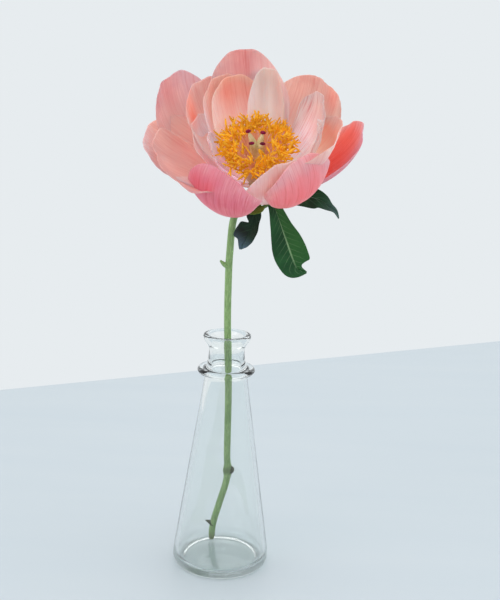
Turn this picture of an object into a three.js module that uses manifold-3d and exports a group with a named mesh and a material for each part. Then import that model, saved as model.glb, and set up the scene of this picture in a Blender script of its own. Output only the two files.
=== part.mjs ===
// A cut peony in a glass bud vase. Millimetres, +Z up. The origin is the middle of the vase's
// foot, on the surface it stands on, and the bloom faces -Y.
import * as THREE from "three";
import { mergeVertices } from "three/addons/utils/BufferGeometryUtils.js";
import Module from "manifold-3d";

const wasm = await Module();
wasm.setup();

// ---------------------------------------------------------------- driving dimensions

const clearance = 0.3; // between pieces that rest on or hold each other

const vaseSize = {
  height: 150,
  lip: { radius: 14.65, innerRadius: 10.4, thickness: 3.4 },
  neck: { radius: 10.95, innerRadius: 8.9, height: 140 },
  collar: { radius: 18.5, height: 127.1, thickness: 3.8 },
  shoulder: { radius: 13, innerRadius: 10.7, height: 124 },
  foot: { radius: 30.4, innerRadius: 27.4, height: 7, heel: 5 },
  floor: 3.3,
  segments: 40,
};

const stemSize = {
  radius: 2.25,
  sides: 8,
  steps: 38,
  joint: { height: 57, swell: 0.75, length: 3.2 }, // the swollen joint low down in the vase
};

// The stem's middle line, from the cut end on the vase's floor up to the bloom.
const stemRoute = [
  [-6.7, 19, vaseSize.floor + 0.5],
  [-6.4, 17.6, 11],
  [-5.4, 16.2, 18.2],
  [-1.7, 13.5, 32.9],
  [2.2, 10.6, 48.4],
  [3, 9.1, 57],
  [2.3, 7.2, 67],
  [2.1, 3.2, 88],
  [1.8, -1.3, 114],
  [0.9, -5.6, 139.5],
  [0.1, -9.7, 160],
  [-0.1, -14.6, 185],
  [0.2, -17.6, 202],
  [2.5, -21.9, 225.5],
  [6, -24.3, 230],
  [10.5, -27, 234],
  [13.5, -29, 237],
];

// Short stumps on the stem: a bud at the joint, a spur near the cut end and a bud under the bloom.
// radius is at the root and at the tip.
const stemStumps = [
  { route: [[3.2, 8.6, 56], [5.2, 8, 57.5], [6, 7.8, 59.5]], radius: [1.5, 0.6] },
  { route: [[-5.8, 16.4, 15], [-8.6, 16.2, 17], [-10.6, 16, 18.4]], radius: [1.3, 0.6] },
  { route: [[0, -16.9, 195], [-2.6, -17, 196.4], [-3.8, -17, 198.2]], radius: [1.3, 0.5] },
];

const bloomPlace = {
  middle: [17.5, -32, 241.6], // where the petals' middle lines meet
  tilt: 36, // degrees that the bloom leans forward
  sway: -4, // and to the side
};

const receptacle = { neck: 3.2, belly: 7.2, top: 7.6, height: 20 };

const petalBuild = { thickness: 0.85, cellWidth: 8, cellLength: 9.5, fewestCells: 4 };

// One line for each petal. az is the direction in which it grows, in degrees from the bloom's
// right towards its back. lean is how far it leans out from the bloom's axis at its root, middle
// and tip. cup is the arc across it, claw how much its root narrows, and lift and out say where
// on the receptacle it starts. fall and round shape its end: trimFore and trimHind make it fall
// off more on one side, fore being the side of the smaller az, and flareHind widens the other.
const petalTable = {
  back_left_tall: {
    az: 152, length: 87, width: 65, lean: [90, 44, -6], cup: 72, claw: 0.4, round: 2.9, trimHind: 0.9,
  },
  left_upper: {
    az: 180, length: 68, width: 66, lean: [74, 62, 38], cup: 82, claw: 0.7, lift: 5, trimHind: 0.2,
  },
  left_lower: {
    az: 200, length: 63, width: 56, lean: [84, 62, 26], cup: 66, claw: 1, roll: -4, lift: 9,
    trimFore: -0.8, trimHind: -0.8, flareHind: 0.7,
  },
  back_dome: { az: 107, length: 76, width: 51, lean: [38, 30, 7], cup: 85 },
  back_hidden: { az: 92, length: 64, width: 34, lean: [42, 34, 12], cup: 75 },
  inner_left_back: { az: 132, length: 60, width: 40, lean: [50, 30, 2], cup: 92, lift: 7, out: 6 },
  inner_back_left: { az: 124, length: 57, width: 42, lean: [46, 26, 0], cup: 98, lift: 8, out: 6 },
  inner_back: { az: 82, length: 58, width: 23, lean: [40, 20, 6], cup: 75, lift: 9, out: 6 },
  inner_left_high: { az: 143, length: 63, width: 46, lean: [60, 38, 6], cup: 95, lift: 6, out: 6 },
  back_right: { az: 43, length: 69, width: 67, lean: [64, 42, 2], cup: 100 },
  inner_right: {
    az: 8, length: 60, width: 42, lean: [52, 30, -6], cup: 75, lift: 7, out: 6, trimHind: -0.4,
  },
  right_ruffled: { az: -9, length: 64, width: 56, lean: [62, 40, 8], cup: 140, trimFore: -0.2 },
  inner_right_frill: {
    az: -3, length: 52, width: 20, lean: [60, 32, -4], cup: 40, lift: 6, out: 6, ruffle: 2, frill: 2,
  },
  right_far: { az: 4, length: 70, width: 42, lean: [84, 54, 4], cup: 120, trimFore: 0.35 },
  front_right: { az: -48, length: 64, width: 54, lean: [92, 36, -46], cup: 105, claw: 0.7, roll: 8 },
  front_middle: { az: -65, length: 54, width: 45, lean: [84, 29, -14], cup: 68, claw: 0.4 },
  front_left: {
    az: -130, length: 65, width: 61, lean: [106, 37, -49], cup: 110, claw: 0.7, roll: -9, out: 7,
    trimFore: 1, trimHind: -0.4,
  },
  inner_left: { az: 170, length: 50, width: 44, lean: [62, 42, 4], cup: 90, lift: 6, out: 6 },
  inner_left_small: { az: 186, length: 41, width: 24, lean: [62, 36, -4], cup: 90, lift: 9, out: 6 },
  inner_left_white: { az: 198, length: 31, width: 17, lean: [64, 42, 8], cup: 60, lift: 9, out: 7 },
};

// The stamens and carpels stand on the receptacle's top, a little aside and leaning further forward.
const heartPlace = { aside: -2.2, height: receptacle.height, tilt: 10 };

const stamenSize = {
  count: 105,
  discRadius: 9.2,
  discThickness: 2.6,
  rootDepth: 1.4, // how deep they are sunk in the disc
  ring: [6.1, 8.5], // where they stand
  length: [17, 22],
  splay: [16, 46], // degrees, innermost to outermost
  backSplay: 0.68, // of that towards the back, where the petals stand close
  frontSplay: 0.66,
  filament: 0.42,
  anther: 0.95,
  antherLength: 5.2,
};

const carpelSize = { radius: 2.7, length: 16, spread: 2.5, sides: 7, steps: 5 };
const carpelLean = [
  { az: 135, out: 5.6 },
  { az: -52, out: 5.2 },
  { az: 42, out: 4.4 },
  { az: -120, out: 4.4 },
];
const stigmaSize = { length: 3.6, width: 2, height: 1.7 };

const leafThickness = 0.7;

const colours = {
  glass: 0xdfe6ea,
  stem: 0x7fa06a,
  sepal: 0x7d8f46,
  leaf: 0x1f4a30,
  petal: 0xf2a196,
  stamen: 0xf0a315,
  carpel: 0xb9b483,
  stigma: 0x9b1244,
};

// ---------------------------------------------------------------- numbers and directions

const radians = THREE.MathUtils.degToRad;
const vector = (values) => new THREE.Vector3(...values);

// A smooth curve through first, middle and last, for t from 0 to 1.
function through([first, middle, last], t) {
  return first * (1 - t) * (1 - 2 * t) + 4 * middle * t * (1 - t) + last * t * (2 * t - 1);
}

function mix([from, to], t) {
  return from + (to - from) * t;
}

// A repeatable draw from 0 to 1.
function randomFrom(seed) {
  let state = seed;
  return () => {
    state = (state * 1664525 + 1013904223) % 4294967296;
    return state / 4294967296;
  };
}

// ---------------------------------------------------------------- closed solids

function solidOf(geometry) {
  const bare = geometry.clone();
  bare.deleteAttribute("normal");
  bare.deleteAttribute("uv");
  const merged = mergeVertices(bare, 1e-4);
  const vertProperties = merged.attributes.position.array;
  const triVerts = new Uint32Array(merged.index.array);
  const made = new wasm.Manifold(new wasm.Mesh({ numProp: 3, vertProperties, triVerts }));
  if (made.volume() > 0) return made;
  for (let i = 0; i < triVerts.length; i += 3) {
    [triVerts[i + 1], triVerts[i + 2]] = [triVerts[i + 2], triVerts[i + 1]];
  }
  return new wasm.Manifold(new wasm.Mesh({ numProp: 3, vertProperties, triVerts }));
}

// The solids as one body: a hollow that joining seals is filled, and a loose scrap is dropped.
function fused(solids) {
  const joined = solids.reduce((sum, next) => sum.add(next));
  const bodies = joined.decompose().sort((a, b) => b.volume() - a.volume());
  return bodies[0];
}

function geometryOf(solid) {
  const mesh = solid.getMesh();
  const positions = new Float32Array(mesh.numVert * 3);
  for (let i = 0; i < mesh.numVert; i++) {
    const from = i * mesh.numProp;
    positions.set(mesh.vertProperties.subarray(from, from + 3), i * 3);
  }
  const geometry = new THREE.BufferGeometry();
  geometry.setAttribute("position", new THREE.BufferAttribute(positions, 3));
  geometry.setIndex(new THREE.BufferAttribute(mesh.triVerts, 1));
  geometry.computeVertexNormals();
  return geometry;
}

// A closed geometry from a grid of points, rows of equal length, each row a closed ring.
function ringsGeometry(rings) {
  const sides = rings[0].length;
  const points = rings.flat();
  const faces = [];
  for (let row = 0; row + 1 < rings.length; row++) {
    for (let i = 0; i < sides; i++) {
      const a = row * sides + i;
      const b = row * sides + ((i + 1) % sides);
      faces.push(a, b, b + sides, a, b + sides, a + sides);
    }
  }
  const last = (rings.length - 1) * sides;
  for (let i = 1; i + 1 < sides; i++) {
    faces.push(0, i + 1, i, last, last + i, last + i + 1);
  }
  return new THREE.BufferGeometry().setFromPoints(points).setIndex(faces);
}

// A round bar along a smooth curve through the points, with its own radius at each place.
function barAlong(points, radiusAt, sides, steps) {
  const curve = new THREE.CatmullRomCurve3(points, false, "centripetal");
  const frames = curve.computeFrenetFrames(steps, false);
  const rings = [];
  for (let step = 0; step <= steps; step++) {
    const middle = curve.getPointAt(step / steps);
    const radius = radiusAt(step / steps, middle);
    rings.push(
      Array.from({ length: sides }, (_, side) => {
        const angle = (2 * Math.PI * side) / sides;
        return middle
          .clone()
          .addScaledVector(frames.normals[step], radius * Math.cos(angle))
          .addScaledVector(frames.binormals[step], radius * Math.sin(angle));
      }),
    );
  }
  return ringsGeometry(rings);
}

// A thin blade of even thickness: surface(u, v) gives its middle, u from -1 to 1 across it and v
// from 0 at its root to 1 at its tip. Both faces are split into the same triangles.
function bladeGeometry(surface, { thickness, across, along }) {
  const columns = across + 1;
  const middle = [];
  for (let row = 0; row <= along; row++) {
    for (let column = 0; column < columns; column++) {
      middle.push(surface((2 * column) / across - 1, row / along));
    }
  }
  const at = (row, column) => middle[row * columns + column];
  const offset = (row, column) => {
    const acrossWay = at(row, Math.min(column + 1, across)).clone();
    acrossWay.sub(at(row, Math.max(column - 1, 0)));
    const alongWay = at(Math.min(row + 1, along), column).clone();
    alongWay.sub(at(Math.max(row - 1, 0), column));
    return acrossWay.cross(alongWay).setLength(thickness / 2);
  };
  const front = middle.map((p, i) =>
    p.clone().add(offset(Math.floor(i / columns), i % columns)),
  );
  const back = middle.map((p, i) =>
    p.clone().sub(offset(Math.floor(i / columns), i % columns)),
  );
  const behind = middle.length;
  const faces = [];
  for (let row = 0; row < along; row++) {
    for (let column = 0; column < across; column++) {
      const a = row * columns + column;
      const b = a + 1;
      const c = b + columns;
      const d = a + columns;
      faces.push(a, b, c, a, c, d);
      faces.push(behind + a, behind + c, behind + b, behind + a, behind + d, behind + c);
    }
  }
  const rim = [];
  for (let column = 0; column < across; column++) rim.push(column);
  for (let row = 0; row < along; row++) rim.push(row * columns + across);
  for (let column = across; column > 0; column--) rim.push(along * columns + column);
  for (let row = along; row > 0; row--) rim.push(row * columns);
  rim.forEach((a, i) => {
    const b = rim[(i + 1) % rim.length];
    faces.push(a, behind + a, behind + b, a, behind + b, b);
  });
  return new THREE.BufferGeometry().setFromPoints([...front, ...back]).setIndex(faces);
}

// ---------------------------------------------------------------- vase

// The vase's outline from the middle of its underside, round the foot, up the outside, over the
// lip and down the inside to the middle of its floor.
function vaseOutline() {
  const { height, lip, neck, collar, shoulder, foot, floor } = vaseSize;
  const half = collar.thickness / 2;
  const lipMiddle = height - lip.thickness / 2;
  const outside = new THREE.Path();
  outside.moveTo(0, 0);
  outside.lineTo(foot.radius - foot.heel + 1, 0);
  outside.quadraticCurveTo(foot.radius, 0, foot.radius, foot.heel);
  outside.lineTo(foot.radius - 0.2, foot.height + 1);
  outside.lineTo(shoulder.radius, shoulder.height);
  outside.lineTo(shoulder.radius + 1.2, collar.height - half);
  outside.lineTo(collar.radius - 2, collar.height - half);
  outside.quadraticCurveTo(collar.radius + 0.6, collar.height, collar.radius - 2, collar.height + half);
  outside.lineTo(shoulder.radius + 0.8, collar.height + half);
  outside.bezierCurveTo(
    neck.radius + 0.6, collar.height + half + 2,
    neck.radius, neck.height - 4,
    neck.radius, neck.height,
  );
  outside.bezierCurveTo(
    neck.radius, neck.height + 3.5,
    lip.radius - 0.4, lipMiddle - 3,
    lip.radius, lipMiddle,
  );
  outside.bezierCurveTo(
    lip.radius + 0.3, height,
    lip.radius - 1, height,
    (lip.radius + lip.innerRadius) / 2, height,
  );
  outside.bezierCurveTo(
    lip.innerRadius, height,
    lip.innerRadius, lipMiddle,
    neck.innerRadius + 0.5, lipMiddle - 3,
  );
  outside.lineTo(neck.innerRadius, neck.height);
  outside.quadraticCurveTo(
    neck.innerRadius, collar.height + 5,
    shoulder.innerRadius, shoulder.height,
  );
  outside.lineTo(foot.innerRadius, foot.height + 1);
  outside.quadraticCurveTo(foot.innerRadius, floor, foot.innerRadius - foot.heel, floor);
  outside.lineTo(0, floor);
  return outside.getPoints(3);
}

function vaseGeometry() {
  const lathe = new THREE.LatheGeometry(vaseOutline(), vaseSize.segments);
  lathe.rotateX(Math.PI / 2);
  return geometryOf(solidOf(lathe));
}

// ---------------------------------------------------------------- stem

function stemGeometry() {
  const { radius, sides, steps, joint } = stemSize;
  const route = stemRoute.map(vector);
  const radiusAt = (t, place) => {
    const swollen = joint.swell * Math.exp(-(((place.z - joint.height) / joint.length) ** 2));
    const slender = 1 - 0.08 * t; // a little thinner towards the bloom
    const cutEnd = t < 0.012 ? 0.45 : 1;
    return (radius * slender + swollen) * cutEnd;
  };
  const stalk = solidOf(barAlong(route, radiusAt, sides, steps));
  const stumps = stemStumps.map((stump) =>
    solidOf(barAlong(stump.route.map(vector), (t) => mix(stump.radius, t), 6, 3)),
  );
  return geometryOf(fused([stalk, ...stumps]));
}

// Where the stem ends, and the way it points there.
const stemEnd = vector(stemRoute.at(-1));
const stemWay = stemEnd.clone().sub(vector(stemRoute.at(-2))).normalize();

// ---------------------------------------------------------------- the bloom's own frame

// X is the bloom's right, Y its back and Z its axis.
function bloomGroup() {
  const tilt = radians(bloomPlace.tilt);
  const sway = radians(bloomPlace.sway);
  const axis = new THREE.Vector3(
    Math.sin(sway) * Math.cos(tilt),
    -Math.sin(tilt),
    Math.cos(sway) * Math.cos(tilt),
  ).normalize();
  const right = new THREE.Vector3(1, 0, 0).addScaledVector(axis, -axis.x).normalize();
  const back = axis.clone().cross(right);
  const group = new THREE.Group();
  group.setRotationFromMatrix(new THREE.Matrix4().makeBasis(right, back, axis));
  group.position.set(...bloomPlace.middle);
  group.updateMatrixWorld(true);
  return group;
}

const bloom = bloomGroup();
const heart = new THREE.Group();
heart.position.set(heartPlace.aside, 0, heartPlace.height);
heart.rotation.x = radians(heartPlace.tilt);
bloom.add(heart);
heart.updateMatrixWorld(true);

// ---------------------------------------------------------------- petals

// How wide a petal is at t along it, as a share of its full width.
function petalWidth(t, claw) {
  const opened = Math.sin((Math.PI / 2) * Math.min(1, t / 0.68)) ** 0.9;
  return (0.2 + 0.8 * opened) * (1 - claw * (1 - t) ** 2);
}

// A petal's middle line: its place, the way it runs, its inner side and its width's way.
function petalSpine({ az, length, lean, roll, lift, out }) {
  const outward = new THREE.Vector3(Math.cos(radians(az)), Math.sin(radians(az)), 0);
  const sideways = new THREE.Vector3(outward.y, -outward.x, 0);
  const axis = new THREE.Vector3(0, 0, 1);
  const parts = 40;
  const wayAt = (t) => {
    const angle = radians(through(lean, t));
    return axis.clone().multiplyScalar(Math.cos(angle)).addScaledVector(outward, Math.sin(angle));
  };
  const places = [outward.clone().multiplyScalar(out).addScaledVector(axis, lift)];
  for (let i = 0; i < parts; i++) {
    const step = wayAt((i + 0.5) / parts).multiplyScalar(length / parts);
    places.push(places[i].clone().add(step));
  }
  return (t) => {
    const place = Math.min(t * parts, parts - 1e-9);
    const index = Math.floor(place);
    const middle = places[index].clone().lerp(places[index + 1], place - index);
    const way = wayAt(t);
    const inner = way.clone().cross(sideways).negate();
    const turn = radians(roll) * (0.3 + 0.7 * t);
    const widthWay = sideways.clone().multiplyScalar(Math.cos(turn));
    widthWay.addScaledVector(inner, Math.sin(turn));
    const face = inner.clone().multiplyScalar(Math.cos(turn));
    face.addScaledVector(sideways, -Math.sin(turn));
    return { middle, widthWay, face };
  };
}

// A petal's surface: cupped across, leaning out along, waved towards its rim.
function petalSurface(entry) {
  const plain = { claw: 0, roll: 0, lift: 0, out: 4, ruffle: 1.5, frill: 0.7 };
  const even = { fall: 0.4, round: 2.7, trimFore: 0, trimHind: 0, flareHind: 0 };
  const petal = { ...plain, ...even, ...entry };
  const spine = petalSpine(petal);
  return (u, v) => {
    const side = Math.abs(u);
    const trim = u > 0 ? petal.trimFore : petal.trimHind;
    const t = v * (1 - petal.fall * side ** petal.round * (1 + trim));
    const { middle, widthWay, face } = spine(t);
    const flare = u < 0 ? 1 + petal.flareHind * t ** 5 : 1;
    const halfWidth = (petal.width / 2) * petalWidth(t, petal.claw) * flare;
    const arc = (radians(petal.cup) / 2) * (0.35 + 0.65 * Math.sin(Math.PI * 0.75 * t ** 0.8));
    const radius = halfWidth / arc;
    const across = radius * Math.sin(u * arc);
    const rise = radius * (1 - Math.cos(u * arc));
    const wave = petal.ruffle * t ** 2 * side ** 1.3 * Math.sin(2.2 * Math.PI * u + 3 * t);
    const edgeWave = petal.frill * t ** 4 * Math.sin(3 * Math.PI * u);
    return middle.addScaledVector(widthWay, across).addScaledVector(face, rise + wave + edgeWave);
  };
}

// The fleshy middle that carries the petals, from the stem's end up to the stamens' seat.
function receptacleSolids() {
  const start = bloom.worldToLocal(stemEnd.clone().addScaledVector(stemWay, clearance));
  const { neck, belly, top, height } = receptacle;
  const onward = bloom.worldToLocal(stemEnd.clone().addScaledVector(stemWay, clearance + 2));
  const route = [start, onward, vector([0, 0, height / 2]), vector([heartPlace.aside, 0, height - 3])];
  const body = solidOf(barAlong(route, (t) => through([neck, belly + 0.6, top], t), 12, 6));
  const seatDepth = 6;
  const seat = new THREE.CylinderGeometry(top, belly, seatDepth, 16);
  seat.rotateX(Math.PI / 2);
  seat.translate(0, 0, -clearance - seatDepth / 2);
  seat.applyMatrix4(heart.matrix);
  return [body, solidOf(seat)];
}

function petalsGeometry() {
  const { thickness, cellWidth, cellLength, fewestCells } = petalBuild;
  const blades = Object.values(petalTable).map((entry) => {
    const across = Math.max(fewestCells, Math.round(entry.width / cellWidth));
    const along = Math.max(fewestCells, Math.round(entry.length / cellLength));
    return solidOf(bladeGeometry(petalSurface(entry), { thickness, across, along }));
  });
  return geometryOf(fused([...receptacleSolids(), ...blades]));
}

// ---------------------------------------------------------------- stamens, carpels, stigmas

// One stamen: a slim filament and a longer, thicker anther at its end.
function stamenSolid({ az, standsAt, splay, length }) {
  const { filament, anther, antherLength, discThickness, rootDepth } = stamenSize;
  const outward = new THREE.Vector3(Math.cos(az), Math.sin(az), 0);
  const way = outward.clone().multiplyScalar(Math.sin(splay)).setZ(Math.cos(splay));
  const sideways = new THREE.Vector3(-outward.y, outward.x, 0);
  const other = way.clone().cross(sideways);
  const root = outward.clone().multiplyScalar(standsAt).setZ(discThickness - rootDepth);
  const stations = [
    [0, filament],
    [length - antherLength, filament],
    [length - antherLength + 0.8, anther],
    [length, anther * 0.55],
  ];
  const rings = stations.map(([along, radius]) =>
    [0, 1, 2].map((corner) => {
      const angle = (2 * Math.PI * corner) / 3 + az;
      return root
        .clone()
        .addScaledVector(way, along)
        .addScaledVector(sideways, radius * Math.cos(angle))
        .addScaledVector(other, radius * Math.sin(angle));
    }),
  );
  return solidOf(ringsGeometry(rings));
}

function stamensGeometry() {
  const { count, discRadius, discThickness, ring, length, splay, backSplay, frontSplay } = stamenSize;
  const goldenAngle = Math.PI * (3 - Math.sqrt(5));
  const random = randomFrom(7);
  const disc = new THREE.CylinderGeometry(discRadius - 0.6, discRadius, discThickness, 20);
  disc.rotateX(Math.PI / 2);
  disc.translate(0, 0, discThickness / 2);
  const solids = [solidOf(disc)];
  for (let i = 0; i < count; i++) {
    const outer = Math.sqrt((i + 0.5) / count);
    const az = i * goldenAngle;
    const towardsBack = Math.sin(az);
    const reach = mix([1, towardsBack > 0 ? backSplay : frontSplay], Math.abs(towardsBack));
    solids.push(
      stamenSolid({
        az,
        standsAt: mix(ring, outer),
        splay: radians(mix(splay, outer) * reach + mix([-4, 4], random())),
        length: mix(length, random()),
      }),
    );
  }
  return geometryOf(fused(solids));
}

// A carpel's middle line, in the frame of the bloom's middle.
function carpelRoute({ az, out }) {
  const outward = new THREE.Vector3(Math.cos(radians(az)), Math.sin(radians(az)), 0);
  const foot = stamenSize.discThickness + 2 * clearance;
  const station = (distance, height) =>
    outward.clone().multiplyScalar(distance).setZ(foot + height);
  const { spread, length } = carpelSize;
  return [
    station(spread * 0.7, 0),
    station(spread, length * 0.3),
    station(spread, length * 0.6),
    station(out, length),
  ];
}

function carpelsGeometry() {
  const { radius, sides, steps } = carpelSize;
  const radiusAt = (t) => radius * (0.75 + 0.9 * t - 1.5 * t ** 2 + 0.12 * t ** 3);
  const solids = carpelLean.map((entry) =>
    solidOf(barAlong(carpelRoute(entry), radiusAt, sides, steps)),
  );
  return geometryOf(fused(solids));
}

// A stigma is a small curled crest on its carpel's tip.
function stigmaMesh(entry, material) {
  const route = carpelRoute(entry);
  const tip = route.at(-1);
  const way = tip.clone().sub(route.at(-2)).normalize();
  const { length, width, height } = stigmaSize;
  const geometry = new THREE.SphereGeometry(0.5, 8, 5);
  geometry.scale(length, width, height);
  const mesh = new THREE.Mesh(geometryOf(solidOf(geometry)), material);
  mesh.quaternion.setFromUnitVectors(new THREE.Vector3(0, 0, 1), way);
  mesh.position.copy(tip).addScaledVector(way, clearance + height / 2);
  return mesh;
}

// ---------------------------------------------------------------- sepals and leaves

// A leaf's surface along its midrib. left and right are its half widths at even steps from root
// to tip, faces is roughly the way its upper side looks, and fold lifts its two halves.
function leafSurface({ rib, left, right, faces, fold = 0.12, wave = 0.5, turn = 0 }) {
  const curve = new THREE.CatmullRomCurve3(rib.map(vector), false, "centripetal");
  const outline = (widths) =>
    new THREE.SplineCurve(
      widths.map((width, i) => new THREE.Vector2(i / (widths.length - 1), width)),
    );
  const sides = { left: outline(left), right: outline(right) };
  const upper = vector(faces).normalize();
  return (u, v) => {
    const middle = curve.getPointAt(v);
    const along = curve.getTangentAt(v);
    const across = along.clone().cross(upper).normalize();
    across.applyAxisAngle(along, radians(turn) * v);
    const normal = across.clone().cross(along);
    const width = Math.max(0.3, (u > 0 ? sides.left : sides.right).getPoint(v).y);
    const lift = width * Math.abs(u) * fold + wave * u * Math.sin(2.5 * Math.PI * v);
    return middle.addScaledVector(across, u * width).addScaledVector(normal, lift);
  };
}

function leafGeometry({ blade, stalk, across = 4, along = 9 }) {
  const size = { thickness: leafThickness, across, along };
  const solids = [solidOf(bladeGeometry(leafSurface(blade), size))];
  if (stalk) solids.push(solidOf(barAlong(stalk.route.map(vector), () => stalk.radius, 6, 4)));
  return geometryOf(fused(solids));
}

const leaves = {
  leaf_left: {
    blade: {
      rib: [
        [13.5, -29.5, 231.5], [13.7, -30, 227], [13.6, -30, 223], [12.6, -30, 219.5],
        [9.8, -30, 214.5], [7.4, -30, 209.8], [6.6, -29.5, 207.4],
      ],
      left: [3.5, 4.2, 3, 7.9, 8, 3.6, 0.3],
      right: [3.5, 4, 3.1, 4.1, 4.5, 3.5, 0.3],
      faces: [-0.2, -1, 0.2],
      wave: 0.9,
    },
    stalk: { route: [[9.8, -28.9, 231.2], [11.6, -29.7, 230.9], [13.6, -29.8, 229.8]], radius: 1 },
  },
  leaf_centre: {
    blade: {
      rib: [
        [22.6, -28.6, 235.8], [25.4, -29, 231], [29.4, -29, 221], [33.6, -29, 210.5],
        [36.6, -29, 203], [39.6, -28.8, 197.4], [45, -28.2, 195.4],
      ],
      left: [2.4, 3.4, 4.4, 5.4, 6.4, 7.6, 8.7, 9.6, 9.9, 9.5, 8.4, 4.2, 0.5],
      right: [2.8, 3.6, 4.4, 5.2, 6.1, 7.4, 8.6, 9.3, 9.7, 9.6, 8.6, 2.4, 0.3],
      faces: [-0.15, -1, 0.25],
    },
    along: 12,
    stalk: {
      route: [[12.3, -26.9, 231.8], [16, -27.4, 230.8], [20.5, -28.2, 233], [23, -28.7, 235.2]],
      radius: 1.1,
    },
  },
  leaf_right: {
    blade: {
      rib: [
        [24, -25, 238], [36, -26, 239], [45, -26, 238.3], [51, -26, 236.8],
        [55.6, -26, 233.6], [59.5, -26, 231], [61.8, -26, 226.8],
      ],
      left: [1.5, 4.5, 6.2, 6.4, 4.6, 2, 0.3],
      right: [1.5, 4.5, 5.6, 5.4, 4, 1.8, 0.3],
      faces: [-0.1, -1, 0.4],
      wave: 0.6,
    },
    stalk: {
      route: [[12.2, -24.4, 233.5], [17, -22.9, 234], [21, -24, 236.5], [25, -25.2, 238]],
      radius: 1,
    },
  },
};

// The sepals spread from a small collar round the stem's end, under the petals.
const sepalBlades = [
  { rib: [[17.6, -33.2, 233.2], [14, -34.8, 231], [8.2, -36.5, 229.6]], half: [3, 4.4, 3.8, 0.4] },
  { rib: [[10.5, -25.5, 234.5], [5, -23.5, 236.5], [-1, -22.5, 240.5]], half: [3, 4.6, 4, 0.4] },
  { rib: [[14, -24.5, 236], [15.5, -19, 238], [17, -14.5, 243]], half: [3, 4.6, 4, 0.4] },
];

function sepalsGeometry() {
  const innerRadius = stemSize.radius + clearance;
  const corners = [[0, 0], [1.7, 0.4], [1.7, 2.2], [0, 2.6], [0, 0]];
  const ringOutline = corners.map(([out, up]) => new THREE.Vector2(innerRadius + out, up));
  const ring = new THREE.LatheGeometry(ringOutline, 14);
  const upright = new THREE.Vector3(0, 1, 0);
  ring.applyQuaternion(new THREE.Quaternion().setFromUnitVectors(upright, stemWay));
  const seat = stemEnd.clone().addScaledVector(stemWay, -3);
  ring.translate(seat.x, seat.y, seat.z);
  const blades = sepalBlades.map(({ rib, half }) => {
    const blade = { rib, left: half, right: half, faces: [0, -0.3, 1], fold: 0.2, wave: 0 };
    const size = { thickness: leafThickness, across: 4, along: 5 };
    return solidOf(bladeGeometry(leafSurface(blade), size));
  });
  return geometryOf(fused([solidOf(ring), ...blades]));
}

// ---------------------------------------------------------------- materials and assembly

function finish(color, roughness, extra = {}) {
  return new THREE.MeshStandardMaterial({ color, roughness, metalness: 0, ...extra });
}

const materials = {
  glass: finish(colours.glass, 0.05, { transparent: true, opacity: 0.35 }),
  stem: finish(colours.stem, 0.5),
  sepal: finish(colours.sepal, 0.5),
  leaf: finish(colours.leaf, 0.45),
  petal: finish(colours.petal, 0.6, { side: THREE.DoubleSide }),
  stamen: finish(colours.stamen, 0.7),
  carpel: finish(colours.carpel, 0.6),
  stigma: finish(colours.stigma, 0.6),
};

function addMesh(group, name, geometry, material) {
  const mesh = new THREE.Mesh(geometry, material);
  mesh.name = name;
  group.add(mesh);
}

const peony = new THREE.Group();
addMesh(peony, "vase", vaseGeometry(), materials.glass);
addMesh(peony, "stem", stemGeometry(), materials.stem);
addMesh(peony, "sepals", sepalsGeometry(), materials.sepal);
for (const [name, leaf] of Object.entries(leaves)) {
  addMesh(peony, name, leafGeometry(leaf), materials.leaf);
}
addMesh(bloom, "petals", petalsGeometry(), materials.petal);
addMesh(heart, "stamens", stamensGeometry(), materials.stamen);
addMesh(heart, "carpels", carpelsGeometry(), materials.carpel);
carpelLean.forEach((entry, i) => {
  const mesh = stigmaMesh(entry, materials.stigma);
  mesh.name = `stigma_${i + 1}`;
  heart.add(mesh);
});
peony.add(bloom);

export default peony;
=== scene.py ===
import math

import bpy
import numpy as np
from mathutils import Matrix, Vector


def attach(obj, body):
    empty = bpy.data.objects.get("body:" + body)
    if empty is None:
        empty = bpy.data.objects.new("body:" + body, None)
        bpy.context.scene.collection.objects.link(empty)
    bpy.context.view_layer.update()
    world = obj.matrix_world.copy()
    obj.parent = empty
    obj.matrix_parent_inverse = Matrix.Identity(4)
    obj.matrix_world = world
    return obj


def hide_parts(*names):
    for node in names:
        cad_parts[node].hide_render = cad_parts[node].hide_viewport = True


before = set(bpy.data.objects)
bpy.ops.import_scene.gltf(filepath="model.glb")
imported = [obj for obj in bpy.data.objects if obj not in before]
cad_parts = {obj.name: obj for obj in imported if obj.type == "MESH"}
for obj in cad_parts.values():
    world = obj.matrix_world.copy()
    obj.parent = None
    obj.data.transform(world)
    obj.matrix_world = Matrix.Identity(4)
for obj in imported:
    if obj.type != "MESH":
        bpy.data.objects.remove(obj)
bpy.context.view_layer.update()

mm = 0.001
bpy.context.scene.view_settings.view_transform = "Standard"

# A coral peony in a small glass bottle vase. Sizes are millimetres until a mesh is made.
# Z is up, the vase stands on z = 0 round the Z axis, and the bloom faces -Y.


# Small helpers
def tint(code):  # a screen colour such as "f2a196" as the linear colour that shaders use
    parts = [int(code[i:i + 2], 16) / 255 for i in (0, 2, 4)]
    return tuple(c / 12.92 if c <= 0.04045 else ((c + 0.055) / 1.055) ** 2.4 for c in parts) + (1.0,)


def smooth(low, high, x):
    t = np.clip((x - low) / (high - low), 0, 1)
    return t * t * (3 - 2 * t)


def through(stops, t):  # a smooth curve through first, middle and last
    first, middle, last = stops
    return first * (1 - t) * (1 - 2 * t) + 4 * middle * t * (1 - t) + last * t * (2 * t - 1)


def unit(v):
    v = np.asarray(v, float)
    return v / np.maximum(np.linalg.norm(v, axis=-1, keepdims=True), 1e-12)


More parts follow.
